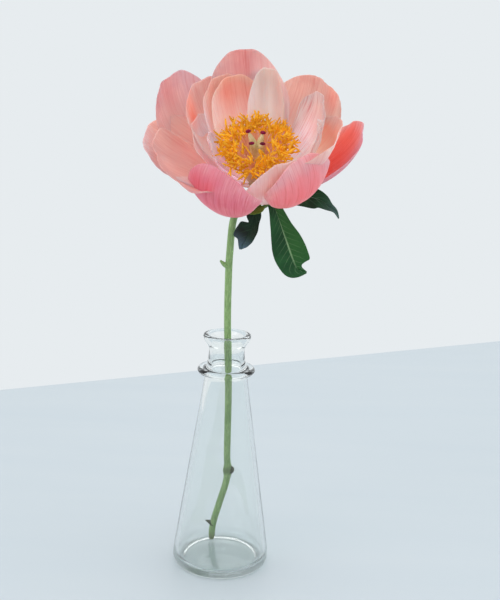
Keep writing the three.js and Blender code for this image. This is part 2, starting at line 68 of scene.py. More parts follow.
def ripples(seed, scale, *places):  # soft random waves from -1 to 1 over one or more coordinates
    random = np.random.default_rng(seed)
    waves, usualPeak, total = 7, 4, 0
    for _ in range(waves):
        direction = random.normal(size=len(places)) * scale
        phase = random.uniform(0, 2 * math.pi)
        total = total + np.sin(sum(d * p for d, p in zip(direction, places)) + phase)
    return total / usualPeak


def smoothRoute(points, count):  # centripetal curve through the points, evenly walked
    points = np.asarray(points, float)
    ends = [2 * points[0] - points[1], 2 * points[-1] - points[-2]]
    padded = np.vstack([ends[0], points, ends[1]])
    spanSteps = 24
    knots = np.concatenate([[0], np.cumsum(np.linalg.norm(np.diff(padded, axis=0), axis=1) ** 0.5)])
    dense = []
    for i in range(1, len(padded) - 2):
        t = np.linspace(knots[i], knots[i + 1], spanSteps, endpoint=False)[:, None]
        a = [(padded[i - 1 + k] * (knots[i + k] - t) + padded[i + k] * (t - knots[i - 1 + k]))
             / (knots[i + k] - knots[i - 1 + k]) for k in range(3)]
        b = [(a[k] * (knots[i + 1 + k] - t) + a[k + 1] * (t - knots[i - 1 + k]))
             / (knots[i + 1 + k] - knots[i - 1 + k]) for k in range(2)]
        dense.append((b[0] * (knots[i + 1] - t) + b[1] * (t - knots[i])) / (knots[i + 1] - knots[i]))
    dense = np.vstack(dense + [points[-1:]])
    walked = np.concatenate([[0], np.cumsum(np.linalg.norm(np.diff(dense, axis=0), axis=1))])
    even = np.linspace(0, walked[-1], count)
    return np.stack([np.interp(even, walked, dense[:, axis]) for axis in range(3)], axis=1)


# Node sheets: one way to add a node, and sums written as sums
class Wire:
    def __init__(self, sheet, socket):
        self.sheet, self.socket = sheet, socket

    def __add__(self, other):
        return self.sheet.maths("ADD", self, other)

    def __sub__(self, other):
        return self.sheet.maths("SUBTRACT", self, other)

    def __mul__(self, other):
        return self.sheet.maths("MULTIPLY", self, other)

    def __truediv__(self, other):
        return self.sheet.maths("DIVIDE", self, other)

    def __pow__(self, other):
        return self.sheet.maths("POWER", self, other)

    def __rsub__(self, other):
        return self.sheet.maths("SUBTRACT", other, self)

    __radd__ = __add__
    __rmul__ = __mul__


class Sheet:
    def __init__(self, tree):
        self.tree = tree

    def node(self, kind, settings=None, inputs=None, output=0):
        made = self.tree.nodes.new(kind)
        for name, value in (settings or {}).items():
            setattr(made, name, value)
        for key, value in (inputs or {}).items():
            if isinstance(value, Wire):
                self.tree.links.new(value.socket, made.inputs[key])
            else:
                made.inputs[key].default_value = value
        return Wire(self, made.outputs[output]) if made.outputs else None

    def maths(self, operation, a, b=0.0):
        return self.node("ShaderNodeMath", {"operation": operation}, {0: a, 1: b})

    def vectors(self, operation, a, b=(0, 0, 0)):
        return self.node("ShaderNodeVectorMath", {"operation": operation}, {0: a, 1: b})

    def between(self, low, high, value):  # a soft step from 0 at low to 1 at high
        inputs = {"Value": value, "From Min": low, "From Max": high}
        return self.node("ShaderNodeMapRange", {"interpolation_type": "SMOOTHSTEP"}, inputs)

    def blend(self, a, b, share):  # a place between two others
        return self.node("ShaderNodeMix", {"data_type": "VECTOR"}, {0: share, 4: a, 5: b}, 1)

    def scaled(self, vector, by):
        return self.node("ShaderNodeVectorMath", {"operation": "SCALE"}, {0: vector, 3: by})

    def added(self, total, *vectors):
        for vector in vectors:
            total = self.vectors("ADD", total, vector)
        return total

    def swept(self, curve, profile, scale):  # a tube along the curve, closed at its ends
        inputs = {"Curve": curve, "Profile Curve": profile, "Scale": scale, "Fill Caps": True}
        return self.node("GeometryNodeCurveToMesh", None, inputs)

    def blendColour(self, factor, a, b, how="MIX"):
        settings = {"data_type": "RGBA", "blend_type": how}
        return self.node("ShaderNodeMix", settings, {0: factor, 6: a, 7: b}, 2)

    def parts(self, vector):  # the three numbers of a vector
        first = self.node("ShaderNodeSeparateXYZ", None, {0: vector})
        return [Wire(self, first.socket.node.outputs[i]) for i in range(3)]

    def combine(self, x, y, z):
        return self.node("ShaderNodeCombineXYZ", None, {0: x, 1: y, 2: z})

    def noise(self, vector, scale, detail=3.0, rough=0.5):
        inputs = {"Vector": vector, "Scale": scale, "Detail": detail, "Roughness": rough}
        return self.node("ShaderNodeTexNoise", None, inputs)

    def bump(self, height, distance, strength=0.8):
        inputs = {"Height": height, "Distance": distance, "Strength": strength}
        return self.node("ShaderNodeBump", None, inputs)

    def objectPlace(self):
        return self.node("ShaderNodeTexCoord", output=3)

    def stretched(self, vector, share):  # the vector with its z scaled, for grain that runs along a stalk
        return self.vectors("MULTIPLY", vector, (1, 1, share))

    def finish(self, geometry, material=None):  # the end of a geometry tree
        real = self.node("GeometryNodeRealizeInstances", None, {"Geometry": geometry})
        done = self.node("GeometryNodeSetShadeSmooth", None, {"Geometry": real})
        if material:
            done = self.node("GeometryNodeSetMaterial", None, {"Geometry": done, "Material": material})
        self.node("NodeGroupOutput", None, {0: done})


def newMaterial(name):
    material = bpy.data.materials.new(name)
    material.use_nodes = True
    material.node_tree.nodes.clear()
    return material, Sheet(material.node_tree)


def surface(sheet, inputs):  # the material's one shader, with its output
    shader = sheet.node("ShaderNodeBsdfPrincipled", None, inputs)
    sheet.node("ShaderNodeOutputMaterial", None, {"Surface": shader})


# Meshes and objects
def newObject(name, data):
    made = bpy.data.objects.new(name, data)
    bpy.context.scene.collection.objects.link(made)
    return made


def newPiece(name, points, faces, material, attributes=None, uv=None):
    mesh = bpy.data.meshes.new(name)
    mesh.from_pydata((np.asarray(points) * mm).tolist(), [], [list(map(int, face)) for face in faces])
    for key, values in (attributes or {}).items():
        values = np.asarray(values, np.float32)
        kind = "FLOAT_COLOR" if values.ndim == 2 else "FLOAT"
        layer = mesh.attributes.new(key, kind, "POINT")
        layer.data.foreach_set("color" if values.ndim == 2 else "value", values.ravel())
    if uv is not None:
        corners = np.zeros(len(mesh.loops), np.int32)
        mesh.loops.foreach_get("vertex_index", corners)
        layer = mesh.uv_layers.new(name="UVMap")
        layer.data.foreach_set("uv", np.asarray(uv, np.float32)[corners].ravel())
    mesh.shade_smooth()
    mesh.validate()
    mesh.update()
    mesh.materials.append(material)
    return newObject(name, mesh)


def shellFaces(rows, columns):  # front and back of a grid, and the rim between them
    index = np.arange((rows + 1) * (columns + 1)).reshape(rows + 1, columns + 1)
    quads = np.stack([index[:-1, :-1], index[:-1, 1:], index[1:, 1:], index[1:, :-1]], -1).reshape(-1, 4)
    behind = index.size
    rim = np.concatenate([index[0, :-1], index[:-1, -1], index[-1, :0:-1], index[:0:-1, 0]])
    after = np.roll(rim, -1)
    edge = np.stack([rim, rim + behind, after + behind, after], -1)
    return np.vstack([quads, quads[:, ::-1] + behind, edge])


def gridNormals(grid):
    return unit(np.cross(np.gradient(grid, axis=1), np.gradient(grid, axis=0)))


def thickened(grid, thickness):  # the points of a blade's back and then of its front
    push = gridNormals(grid) * (thickness / 2)[..., None]
    return np.concatenate([(grid - push).reshape(-1, 3), (grid + push).reshape(-1, 3)])


def settle(piece, node):
    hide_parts(node)
    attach(piece, "root")


def grown(piece, tree, values):  # runs a node tree on the piece and keeps the result as its plain mesh
    modifier = piece.modifiers.new("grow", "NODES")
    modifier.node_group = tree
    names = {item.name: item.identifier for item in tree.interface.items_tree if item.in_out == "INPUT"}
    for name, value in values.items():
        modifier[names[name]] = value
    bpy.context.view_layer.update()
    seen = piece.evaluated_get(bpy.context.evaluated_depsgraph_get())
    mesh = bpy.data.meshes.new_from_object(seen)
    name = mesh.name = piece.name
    bpy.data.objects.remove(piece)
    return newObject(name, mesh)


def newTree(name, sizes):  # a geometry tree with named inputs; sizes gives each input's kind
    tree = bpy.data.node_groups.new(name, "GeometryNodeTree")
    tree.interface.new_socket("Geometry", in_out="INPUT", socket_type="NodeSocketGeometry")
    for key, kind in sizes.items():
        tree.interface.new_socket(key, in_out="INPUT", socket_type="NodeSocket" + kind)
    tree.interface.new_socket("Geometry", in_out="OUTPUT", socket_type="NodeSocketGeometry")
    sheet = Sheet(tree)
    entry = tree.nodes.new("NodeGroupInput")
    given = {socket.name: Wire(sheet, socket) for socket in entry.outputs if socket.name}
    return tree, sheet, given


# The camera, fitted to the vase's lip, collar and foot
cameraPlace = {
    "position": (13.09, -539.9, 290.4), "pitch": 12.40, "roll": 2.204, "focalPixels": 907.3,
    "photoHeight": 600, "sensor": 36.0,
}


def addCamera(values):
    pitch, roll = math.radians(values["pitch"]), math.radians(values["roll"])
    forward = Vector((0, math.cos(pitch), -math.sin(pitch)))
    level, upright = Vector((1, 0, 0)), Vector((0, math.sin(pitch), math.cos(pitch)))
    right = level * math.cos(roll) + upright * math.sin(roll)
    up = upright * math.cos(roll) - level * math.sin(roll)
    data = bpy.data.cameras.new("photoCamera")
    data.sensor_width = values["sensor"]
    data.lens = values["focalPixels"] / values["photoHeight"] * values["sensor"]
    camera = newObject("photoCamera", data)
    turn = Matrix((right, up, -forward)).transposed().to_4x4()
    camera.matrix_world = Matrix.Translation(Vector(values["position"]) * mm) @ turn
    bpy.context.scene.camera = camera


addCamera(cameraPlace)
print("camera placed")


# The room: a pale table with a plain pale wall far behind it
room = {
    "tableColour": tint("cbd2d6"), "streakColour": tint("c4cdd3"), "wallColour": tint("e7ecef"),
    "wallLight": 1.0, "softLight": 1.1, "reach": 2500, "farEdge": 431, "edgeTurn": 25.6, "tableThickness": 28,
}


def addTable(values):
    material, sheet = newMaterial("paleTable")
    place = sheet.objectPlace()
    streaks = sheet.noise(sheet.vectors("MULTIPLY", place, (1.2, 9, 1)), 3.0)
    colour = sheet.blendColour(streaks, values["tableColour"], values["streakColour"])
    surface(sheet, {"Base Color": colour, "Roughness": 0.42, "Specular IOR Level": 0.3})
    turn = math.tan(math.radians(values["edgeTurn"]))
    reach, edge = values["reach"], values["farEdge"]
    outline = [(-reach, -reach), (reach, -reach), (reach, edge + reach * turn), (-reach, edge - reach * turn)]
    points = [(x, y, z) for z in (0, -values["tableThickness"]) for x, y in outline]
    sides = [(i + 4, (i + 1) % 4 + 4, (i + 1) % 4, i) for i in range(4)]
    table = newPiece("table", points, [(0, 1, 2, 3), (7, 6, 5, 4)] + sides, material)
    table.data.shade_flat()


def addWorld(values):  # the wall is the world, a little brighter for what it lights than for the eye
    world = bpy.data.worlds.new("studio")
    bpy.context.scene.world = world
    world.use_nodes = True
    world.node_tree.nodes.clear()
    sheet = Sheet(world.node_tree)
    diffuse = sheet.node("ShaderNodeLightPath", output=2)
    strength = values["wallLight"] - diffuse * (values["wallLight"] - values["softLight"])
    glow = sheet.node("ShaderNodeBackground", None, {"Color": values["wallColour"], "Strength": strength})
    sheet.node("ShaderNodeOutputWorld", None, {"Surface": glow})


softBoxes = {
    "windowLeft": {"place": (-900, -700, 950), "size": 900, "power": 4.5, "colour": (1.0, 0.99, 0.97)},
    "fillRight": {"place": (1000, -300, 500), "size": 900, "power": 1.5, "colour": (0.96, 0.98, 1.0)},
    "topBack": {"place": (200, 800, 1000), "size": 900, "power": 2.0, "colour": (1.0, 1.0, 1.0)},
}
lightAim = (10, -20, 200)


def addLights(boxes):
    target = Vector(lightAim) * mm
    for name, box in boxes.items():
        data = bpy.data.lights.new(name, "AREA")
        data.size, data.energy, data.color = box["size"] * mm, box["power"], box["colour"]
        light = newObject(name, data)
        light.location = Vector(box["place"]) * mm
        light.rotation_mode = "QUATERNION"
        light.rotation_quaternion = (target - light.location).to_track_quat("-Z", "Y")


addTable(room)
addWorld(room)
addLights(softBoxes)
print("room and lights ready")


# Materials
# Colour is painted on each petal as "skin"; its veins, clouds and pale silky lines, a painted sheen, are
# worked out here.
# The petal's map runs across it in U and from root to rim in V.
# glow makes each petal shine with its own colour: painted light that lifts the shade deep in the bloom
petalLook = {
    "vein": tint("e08a8e"), "paintedSheen": tint("f6e2dc"), "cloud": tint("f0cfc4"), "paintedSheenShare": 0.22,
    "cloudShare": 0.15, "rough": 0.52, "glow": 0.25, "bumps": 0.22,
}


def petalMaterial(look):
    material, sheet = newMaterial("petalSkin")
    skin = sheet.node("ShaderNodeAttribute", {"attribute_name": "skin"})
    across, along, _ = sheet.parts(sheet.node("ShaderNodeUVMap", {"uv_map": "UVMap"}))
    lines = sheet.noise(sheet.combine(across * 60, along * 2.2, 0.0), 1.0, 4.0, 0.6)
    fine = sheet.noise(sheet.combine(across * 170, along * 4, 2.0), 1.0, 2.0)
    cloud = sheet.noise(sheet.objectPlace(), 55.0)
    veins = sheet.between(0.47, 0.66, lines * 0.65 + fine * 0.35)
    veining = sheet.node("ShaderNodeAttribute", {"attribute_name": "veining"}, output=2)
    deeper = sheet.blendColour(1.0, skin, look["vein"], "MULTIPLY")
    colour = sheet.blendColour(veins * veining, skin, deeper)
    # pale silky streaks where the cloud is light: a painted sheen, blended into the colour
    paintedSheen = sheet.between(0.48, 0.34, lines * 0.3 + fine * 0.7) * sheet.between(0.4, 0.65, cloud)
    colour = sheet.blendColour(paintedSheen * look["paintedSheenShare"], colour, look["paintedSheen"])
    clouds = sheet.between(0.45, 0.75, cloud) * look["cloudShare"]
    colour = sheet.blendColour(clouds, colour, look["cloud"])
    height = lines * 0.6 + fine * 0.4
    surface(sheet, {
        "Base Color": colour, "Roughness": look["rough"], "Specular IOR Level": 0.32,
        "Subsurface Weight": 0.9, "Subsurface Radius": (1.0, 0.5, 0.42), "Subsurface Scale": 1.2 * mm,
        "Sheen Weight": 0.12, "Sheen Roughness": 0.4,
        # the glow is painted light: the petal gives off its own colour, so that its shade stays bright
        "Emission Color": colour, "Emission Strength": look["glow"],
        "Normal": sheet.bump(height, look["bumps"] * mm, 0.9),
    })
    return material


# Skins of one colour with darker patches and lighter grain; colours are base, darker and lighter.
# glow makes a skin shine with its own colour: painted light that lifts the shade among the stamens and
# carpels
plantPlain = {"grainAlong": 1.0, "scale": 900, "bumps": 0.05, "gleam": 0.4, "glow": 0.0}
plantSkins = {
    "filament": {"colours": "ecb090 dc8c5c f8dcc8", "rough": 0.5, "grainAlong": 0.4, "glow": 0.2},
    "anther": {"colours": "f2ac1e cc840a ffdc50", "rough": 0.72, "scale": 1600, "bumps": 0.12, "glow": 0.22},
    "seat": {"colours": "e0a080 cc8460 f0c8b0", "rough": 0.5, "scale": 700, "glow": 0.15},
    "receptacle": {"colours": "e6cfae c9c48c f0dfc6", "rough": 0.5, "scale": 700},
    "carpel": {"colours": "d2bd8c b09a5e eedcc4", "rough": 0.68, "grainAlong": 0.5, "scale": 2200,
               "bumps": 0.1, "glow": 0.12},
    "stigma": {"colours": "8c0e40 5c0628 b82c5e", "rough": 0.6, "scale": 2500, "bumps": 0.15, "gleam": 0.25},
    "bud": {"colours": "3f4427 2a271a 6a7340", "rough": 0.6, "scale": 1800},
    "leafStalk": {"colours": "5f7d40 43622f 87a05c", "rough": 0.45, "grainAlong": 0.3},
}


def plantMaterial(name, values):
    look = {**plantPlain, **values}
    base, darker, lighter = [tint(code) for code in look["colours"].split()]
    material, sheet = newMaterial(name + "Skin")
    place = sheet.stretched(sheet.objectPlace(), look["grainAlong"])
    broad, grain = sheet.noise(place, look["scale"] * 0.12), sheet.noise(place, look["scale"])
    colour = sheet.blendColour(sheet.between(0.35, 0.7, broad), base, darker)
    colour = sheet.blendColour(sheet.between(0.5, 0.75, grain) * 0.6, colour, lighter)
    surface(sheet, {
        "Base Color": colour, "Roughness": look["rough"], "Specular IOR Level": look["gleam"],
        "Subsurface Weight": 0.15, "Subsurface Radius": (0.5, 1.0, 0.3), "Subsurface Scale": 1.0 * mm,
        # the glow is painted light, which lifts the shade in the thick of the bloom
        "Emission Color": colour, "Emission Strength": look["glow"],
        "Normal": sheet.bump(grain, look["bumps"] * mm),
    })
    return material


# U runs across the leaf with its midrib at 0.5, V from stalk to tip. colours are dark, bright, vein, tip
# and the right half's; veins counts the side veins and midrib is how clearly the middle one shows.
leafSkins = {
    "sepal": {"colours": "3f5a1c 6f8a34 b6bf7c 6f8a34 6f8a34", "veins": 5.0, "midrib": 0.5},
    "leafLeft": {"colours": "04160a 0a2a12 3f6a4a 5a7280 0a2a12", "veins": 6.0, "midrib": 0.3},
    "leafCentre": {"colours": "14421f 235a2c 9cc08c 1d5128 346b2c", "veins": 13.0, "midrib": 0.9},
    "leafRight": {"colours": "0a2c12 14451d 7d9c80 56706c 14451d", "veins": 7.0, "midrib": 0.6},
}


def leafMaterial(name, look):
    dark, bright, vein, tip, rightHalf = [tint(code) for code in look["colours"].split()]
    material, sheet = newMaterial(name + "Skin")
    across, along, _ = sheet.parts(sheet.node("ShaderNodeUVMap", {"uv_map": "UVMap"}))
    fromRib = sheet.maths("ABSOLUTE", across - 0.5) * 2
    place = sheet.objectPlace()
    wobble = sheet.noise(place, 120.0, 2.0)
    branch = sheet.maths("FRACT", along * look["veins"] - fromRib * 2.2 + wobble * 0.35)
    branch = sheet.maths("ABSOLUTE", branch - 0.5) * 2
    branchLine = sheet.between(0.8, 0.99, branch) * sheet.between(0.95, 0.2, fromRib)
    ribLine = sheet.between(0.09, 0.02, fromRib) * sheet.between(1.0, 0.6, along)
    mottle = sheet.noise(place, 380.0, 4.0)
    colour = sheet.blendColour(sheet.between(0.3, 0.75, wobble), dark, bright)
    colour = sheet.blendColour(sheet.between(0.52, 0.46, across) * 0.7, colour, rightHalf)
    colour = sheet.blendColour(sheet.between(0.45, 0.8, mottle) * 0.35, colour, dark)
    colour = sheet.blendColour(sheet.between(0.6, 1.0, along) * 0.75, colour, tip)
    colour = sheet.blendColour(branchLine * 0.22, colour, vein)
    colour = sheet.blendColour(ribLine * look["midrib"], colour, vein)
    height = mottle * 0.25 - branchLine * 0.35 - ribLine
    surface(sheet, {
        "Base Color": colour, "Roughness": 0.46 + mottle * 0.12, "Specular IOR Level": 0.25,
        "Subsurface Weight": 0.08, "Subsurface Radius": (0.4, 1.0, 0.2), "Subsurface Scale": 0.8 * mm,
        "Normal": sheet.bump(height, 0.28 * mm),
    })
    return material


glassLook = {
    "colour": tint("fbfdfc"), "shadow": tint("eff4f4"), "footTop": 11, "footClear": 3, "footShare": 0.2,
}


def glassMaterial(look):  # clear glass; lamps shine through it, as they do through a thin wall
    material, sheet = newMaterial("clearGlass")
    glass = sheet.node("ShaderNodeBsdfPrincipled", None, {
        "Base Color": look["colour"], "Roughness": 0.0, "IOR": 1.5, "Transmission Weight": 1.0,
    })
    clear = sheet.node("ShaderNodeBsdfTransparent", None, {"Color": look["shadow"]})
    shadow = sheet.node("ShaderNodeLightPath", output=1)
    height = sheet.parts(sheet.objectPlace())[2]
    # the thick foot is a little clearer than the rest, or it looks too dark
    foot = sheet.between(look["footTop"] * mm, look["footClear"] * mm, height) * look["footShare"]
    share = sheet.maths("MAXIMUM", shadow, foot)
    mixed = sheet.node("ShaderNodeMixShader", None, {0: share, 1: glass, 2: clear})
    sheet.node("ShaderNodeOutputMaterial", None, {"Surface": mixed})
    return material


materials = {"petal": petalMaterial(petalLook), "glass": glassMaterial(glassLook)}
materials |= {name: leafMaterial(name, look) for name, look in leafSkins.items()}
materials |= {name: plantMaterial(name, look) for name, look in plantSkins.items()}
print("materials ready")


# The vase: an outline turned round the Z axis by geometry nodes
vaseSize = {
    "height": 150, "lipRadius": 14.65, "lipInner": 10.4, "lipThickness": 3.4,
    "neckRadius": 10.95, "neckInner": 8.9, "neckHeight": 140,
    "collarRadius": 18.5, "collarHeight": 127.1, "collarThickness": 3.8,
    "shoulderRadius": 13, "shoulderInner": 10.7, "shoulderHeight": 124,
    "footRadius": 30.4, "footInner": 27.4, "footHeight": 7, "heel": 5, "floor": 3.3,
    "wallFoot": 0.2, "dish": 0.9,
    "segments": 144, "wobble": 0.1, "wobbleSize": 60.0, "wobbleLow": (10, 22), "wobbleHigh": (122, 110),
}


def bezier(*corners, count=12):  # a bend from the first corner to the last, without its first point
    t = np.linspace(0, 1, count + 1)[1:, None]
    points = [np.array(corner, float) for corner in corners]
    while len(points) > 1:  # each round blends neighbours, until one row of points is left
        points = [a * (1 - t) + b * t for a, b in zip(points, points[1:])]
    return points[0].tolist()


def straight(start, end, count):  # many points on a straight wall, so that it can wobble
    return [[a + (b - a) * i / count for a, b in zip(start, end)] for i in range(1, count + 1)]


def vaseOutline(s):  # (radius, height) from the middle of the underside, over the lip, to the floor inside
    foot, heel, dish, top, floor = s["footRadius"], s["heel"], s["dish"], s["height"], s["floor"]
    shoulder, shoulderHeight, neckHeight = s["shoulderRadius"], s["shoulderHeight"], s["neckHeight"]
    collar, collarHeight = s["collarRadius"], s["collarHeight"]
    under, over = collarHeight - s["collarThickness"] / 2, collarHeight + s["collarThickness"] / 2
    neck, neckInner, lip, lipInner = s["neckRadius"], s["neckInner"], s["lipRadius"], s["lipInner"]
    lipMiddle, crown = top - s["lipThickness"] / 2, (lip + lipInner) / 2
    inFoot, inHeel = s["footInner"], s["footHeight"] + 1
    wallStart, neckTop = (foot - s["wallFoot"], s["footHeight"] + 1), (neck, neckHeight)
    inNeck, inShoulder = (neckInner + 0.5, lipMiddle - 3), (s["shoulderInner"], shoulderHeight)
    swell = floor + 0.7  # the floor rises to the middle
    points = [[0, dish], [foot - 9, dish]]
    points += bezier((foot - 9, dish), (foot - 7.6, dish), (foot - 7, 0.1), (foot - 5.6, 0), count=6)
    points += bezier((foot - 4, 0), (foot, 0), (foot, heel))
    points += straight((foot, heel), wallStart, 3)
    points += straight(wallStart, (shoulder, shoulderHeight), 60)
    points += bezier((shoulder, shoulderHeight), (shoulder, under - 0.4), (shoulder + 1.2, under), count=6)
    points += bezier((shoulder + 1.2, under), (shoulder + 2, under), (collar - 2, under), count=3)
    points += bezier((collar - 2, under), (collar + 0.6, collarHeight), (collar - 2, over), count=14)
    points += bezier((collar - 2, over), (shoulder + 2, over), (shoulder + 0.8, over), count=3)
    points += bezier((shoulder + 0.8, over), (neck + 0.6, over + 0.8), (neck, neckHeight - 4), neckTop)
    points += bezier(neckTop, (neck, neckHeight + 3.5), (lip - 0.4, lipMiddle - 3), (lip, lipMiddle))
    points += bezier((lip, lipMiddle), (lip + 0.3, top), (lip - 1, top), (crown, top))
    points += bezier((crown, top), (lipInner, top), (lipInner, lipMiddle), inNeck)
    points += bezier(inNeck, (neckInner, neckHeight), (neckInner, collarHeight + 5), inShoulder)
    points += straight(inShoulder, (inFoot, inHeel), 60)
    points += bezier((inFoot, inHeel), (inFoot, floor), (inFoot - heel, floor), count=16)
    points += bezier((inFoot - heel, floor), (inFoot - 9, floor), (8, swell), (0, swell), count=10)
    return points


def turningTree():
    tree, sheet, given = newTree("turnOutline", {
        "Segments": "Int", "Wobble": "Float", "Wobble size": "Float", "Material": "Material"})
    outline = given["Geometry"]
    size = sheet.node("GeometryNodeAttributeDomainSize", {"component": "MESH"}, {0: outline})
    wall = sheet.node("GeometryNodeMeshGrid", None, {
        "Size X": 1.0, "Size Y": 1.0, "Vertices X": given["Segments"] + 1, "Vertices Y": size})
    x, y, _ = sheet.parts(sheet.node("GeometryNodeInputPosition"))
    angle = (x + 0.5) * (2 * math.pi)
    row = sheet.maths("ROUND", (y + 0.5) * (size - 1))
    point = sheet.node("GeometryNodeSampleIndex", {"data_type": "FLOAT_VECTOR"}, {
        "Geometry": outline, "Value": sheet.node("GeometryNodeInputPosition"), "Index": row})
    radius, _, height = sheet.parts(point)
    outward = sheet.combine(sheet.maths("COSINE", angle), sheet.maths("SINE", angle), 0.0)

    def pushed(place, by):
        return sheet.vectors("ADD", place, sheet.vectors("MULTIPLY", outward, sheet.combine(by, by, 0.0)))

    spot = pushed(sheet.combine(0.0, 0.0, height), radius)
    waves = sheet.noise(sheet.stretched(spot, 0.45), given["Wobble size"], 1.0)
    (low, lowFull), (high, highFull) = vaseSize["wobbleLow"], vaseSize["wobbleHigh"]
    onWall = sheet.between(low * mm, lowFull * mm, height) * sheet.between(high * mm, highFull * mm, height)
    moved = pushed(spot, (waves - 0.5) * given["Wobble"] * onWall)
    placed = sheet.node("GeometryNodeSetPosition", None, {"Geometry": wall, "Position": moved})
    closed = sheet.node("GeometryNodeMergeByDistance", None, {"Geometry": placed, "Distance": 0.00001})
    sheet.finish(closed, given["Material"])
    return tree


def turned(name, outline, segments, material, wobble=0.0, wobbleSize=1.0):
    mesh = bpy.data.meshes.new(name)
    edges = [(i, i + 1) for i in range(len(outline) - 1)]
    mesh.from_pydata([(radius * mm, 0, height * mm) for radius, height in outline], edges, [])
    return grown(newObject(name, mesh), turningTree(), {
        "Segments": segments, "Wobble": wobble * mm, "Wobble size": wobbleSize, "Material": material})


def addVase(size):
    swing = size["wobble"] * 2  # the waves run from -0.5 to 0.5
    piece = turned("vase", vaseOutline(size), size["segments"], materials["glass"], swing, size["wobbleSize"])
    settle(piece, "vase")


addVase(vaseSize)
print("vase ready")


# The stem: a route turned into a stalk by geometry nodes
stemRoute = [
    (-6.7, 19, 3.8), (-6.4, 17.6, 11), (-5.4, 16.2, 18.2), (-1.7, 13.5, 32.9), (2.2, 10.6, 48.4),
    (3, 9.1, 57), (2.3, 7.2, 67), (2.1, 3.2, 88), (1.8, -1.3, 114), (0.9, -5.6, 139.5), (0.1, -9.7, 160),
    (-0.1, -14.6, 185), (0.2, -17.6, 202), (2.5, -21.9, 225.5), (6, -24.3, 230), (10.5, -27, 234),
    (13.5, -29, 237),
]
stemSize = {
    "radius": 2.25, "taper": 0.08, "jointHeight": 57, "swell": 1.0, "jointLength": 3.4,
    "cutEdge": 0.012, "cutWidth": 0.45, "steps": 240, "sides": 28, "ridges": 0.14,
}
stumpBuild = {"steps": 16, "sides": 14, "ridges": 0.12}
stumps = [  # a bud at the joint and a spur near the cut end; the shoot is a green bud under the bloom
    {"route": [(3.2, 8.6, 56), (5.2, 8, 57.3), (5.6, 7.8, 58.4), (5, 7.9, 60.2)],
     "radii": (1.5, 1.9, 0.35)},
    {"route": [(-5.8, 16.4, 15.2), (-8.2, 16.2, 16.8), (-11.2, 16, 18.0)], "radii": (2.0, 1.3, 0.3)},
]
shoot = {"route": [(0, -16.9, 194.4), (-3, -17, 196.4), (-5.2, -17, 198.4)], "radii": (1.5, 1.4, 0.5)}


def stalkTree():
    tree, sheet, given = newTree("growStalk", {"Sides": "Int", "Ridges": "Float", "Material": "Material"})
    girth = sheet.node("GeometryNodeInputNamedAttribute", {"data_type": "FLOAT"}, {"Name": "girth"})
    line = sheet.node("GeometryNodeMeshToCurve", None, {"Mesh": given["Geometry"]})
    ring = sheet.node("GeometryNodeCurvePrimitiveCircle", None, {"Resolution": given["Sides"], "Radius": 1.0})
    tube = sheet.swept(line, ring, girth)
    place = sheet.node("GeometryNodeInputPosition")
    ridge = sheet.noise(sheet.stretched(place, 0.08), 900.0, 2.0) - 0.5
    push = ridge * given["Ridges"]
    normal = sheet.node("GeometryNodeInputNormal")
    moved = sheet.node("GeometryNodeSetPosition", None, {
        "Geometry": tube, "Offset": sheet.vectors("MULTIPLY", normal, sheet.combine(push, push, push))})
    sheet.finish(moved, given["Material"])
    return tree


def grownStalks(name, stalks, sides, ridges, material):  # stalks are (points, radii) pairs
    points, edges, girths = [], [], []
    for route, radii in stalks:
        first = len(points)
        points += (route * mm).tolist()
        girths += (np.asarray(radii) * mm).tolist()
        edges += [(first + i, first + i + 1) for i in range(len(route) - 1)]
    mesh = bpy.data.meshes.new(name)
    mesh.from_pydata(points, edges, [])
    mesh.attributes.new("girth", "FLOAT", "POINT").data.foreach_set("value", girths)
    values = {"Sides": sides, "Ridges": ridges * mm, "Material": material}
    return grown(newObject(name, mesh), stalkTree(), values)


stemLook = {
    "base": tint("7e9e62"), "light": tint("9cba7c"), "patch": tint("6c8f52"), "speck": tint("c2cf9c"),
    "joint": tint("4c5a34"), "foot": tint("7d7a58"),
}


def stemMaterial(look):
    material, sheet = newMaterial("stemSkin")
    place = sheet.objectPlace()
    height = sheet.parts(place)[2] * (1 / mm)
    streaks = sheet.noise(sheet.stretched(place, 0.06), 1500.0)
    patches = sheet.noise(place, 90.0)
    specks = sheet.noise(place, 2600.0, 2.0)
    colour = sheet.blendColour(sheet.between(0.35, 0.7, streaks), look["base"], look["light"])
    colour = sheet.blendColour(sheet.between(0.45, 0.7, patches) * 0.5, colour, look["patch"])
    colour = sheet.blendColour(sheet.between(0.62, 0.75, specks) * 0.5, colour, look["speck"])
    joint = sheet.between(4.5, 0.5, sheet.maths("ABSOLUTE", height - 57.5))
    colour = sheet.blendColour(joint * 0.6, colour, look["joint"])
    colour = sheet.blendColour(sheet.between(12.0, 4.0, height) * 0.7, colour, look["foot"])
    surface(sheet, {
        "Base Color": colour, "Roughness": 0.4, "Specular IOR Level": 0.4,
        "Subsurface Weight": 0.12, "Subsurface Radius": (0.5, 1.0, 0.3), "Subsurface Scale": 0.9 * mm,
        "Normal": sheet.bump(streaks * 0.7 + specks * 0.3, 0.12 * mm),
    })
    return material


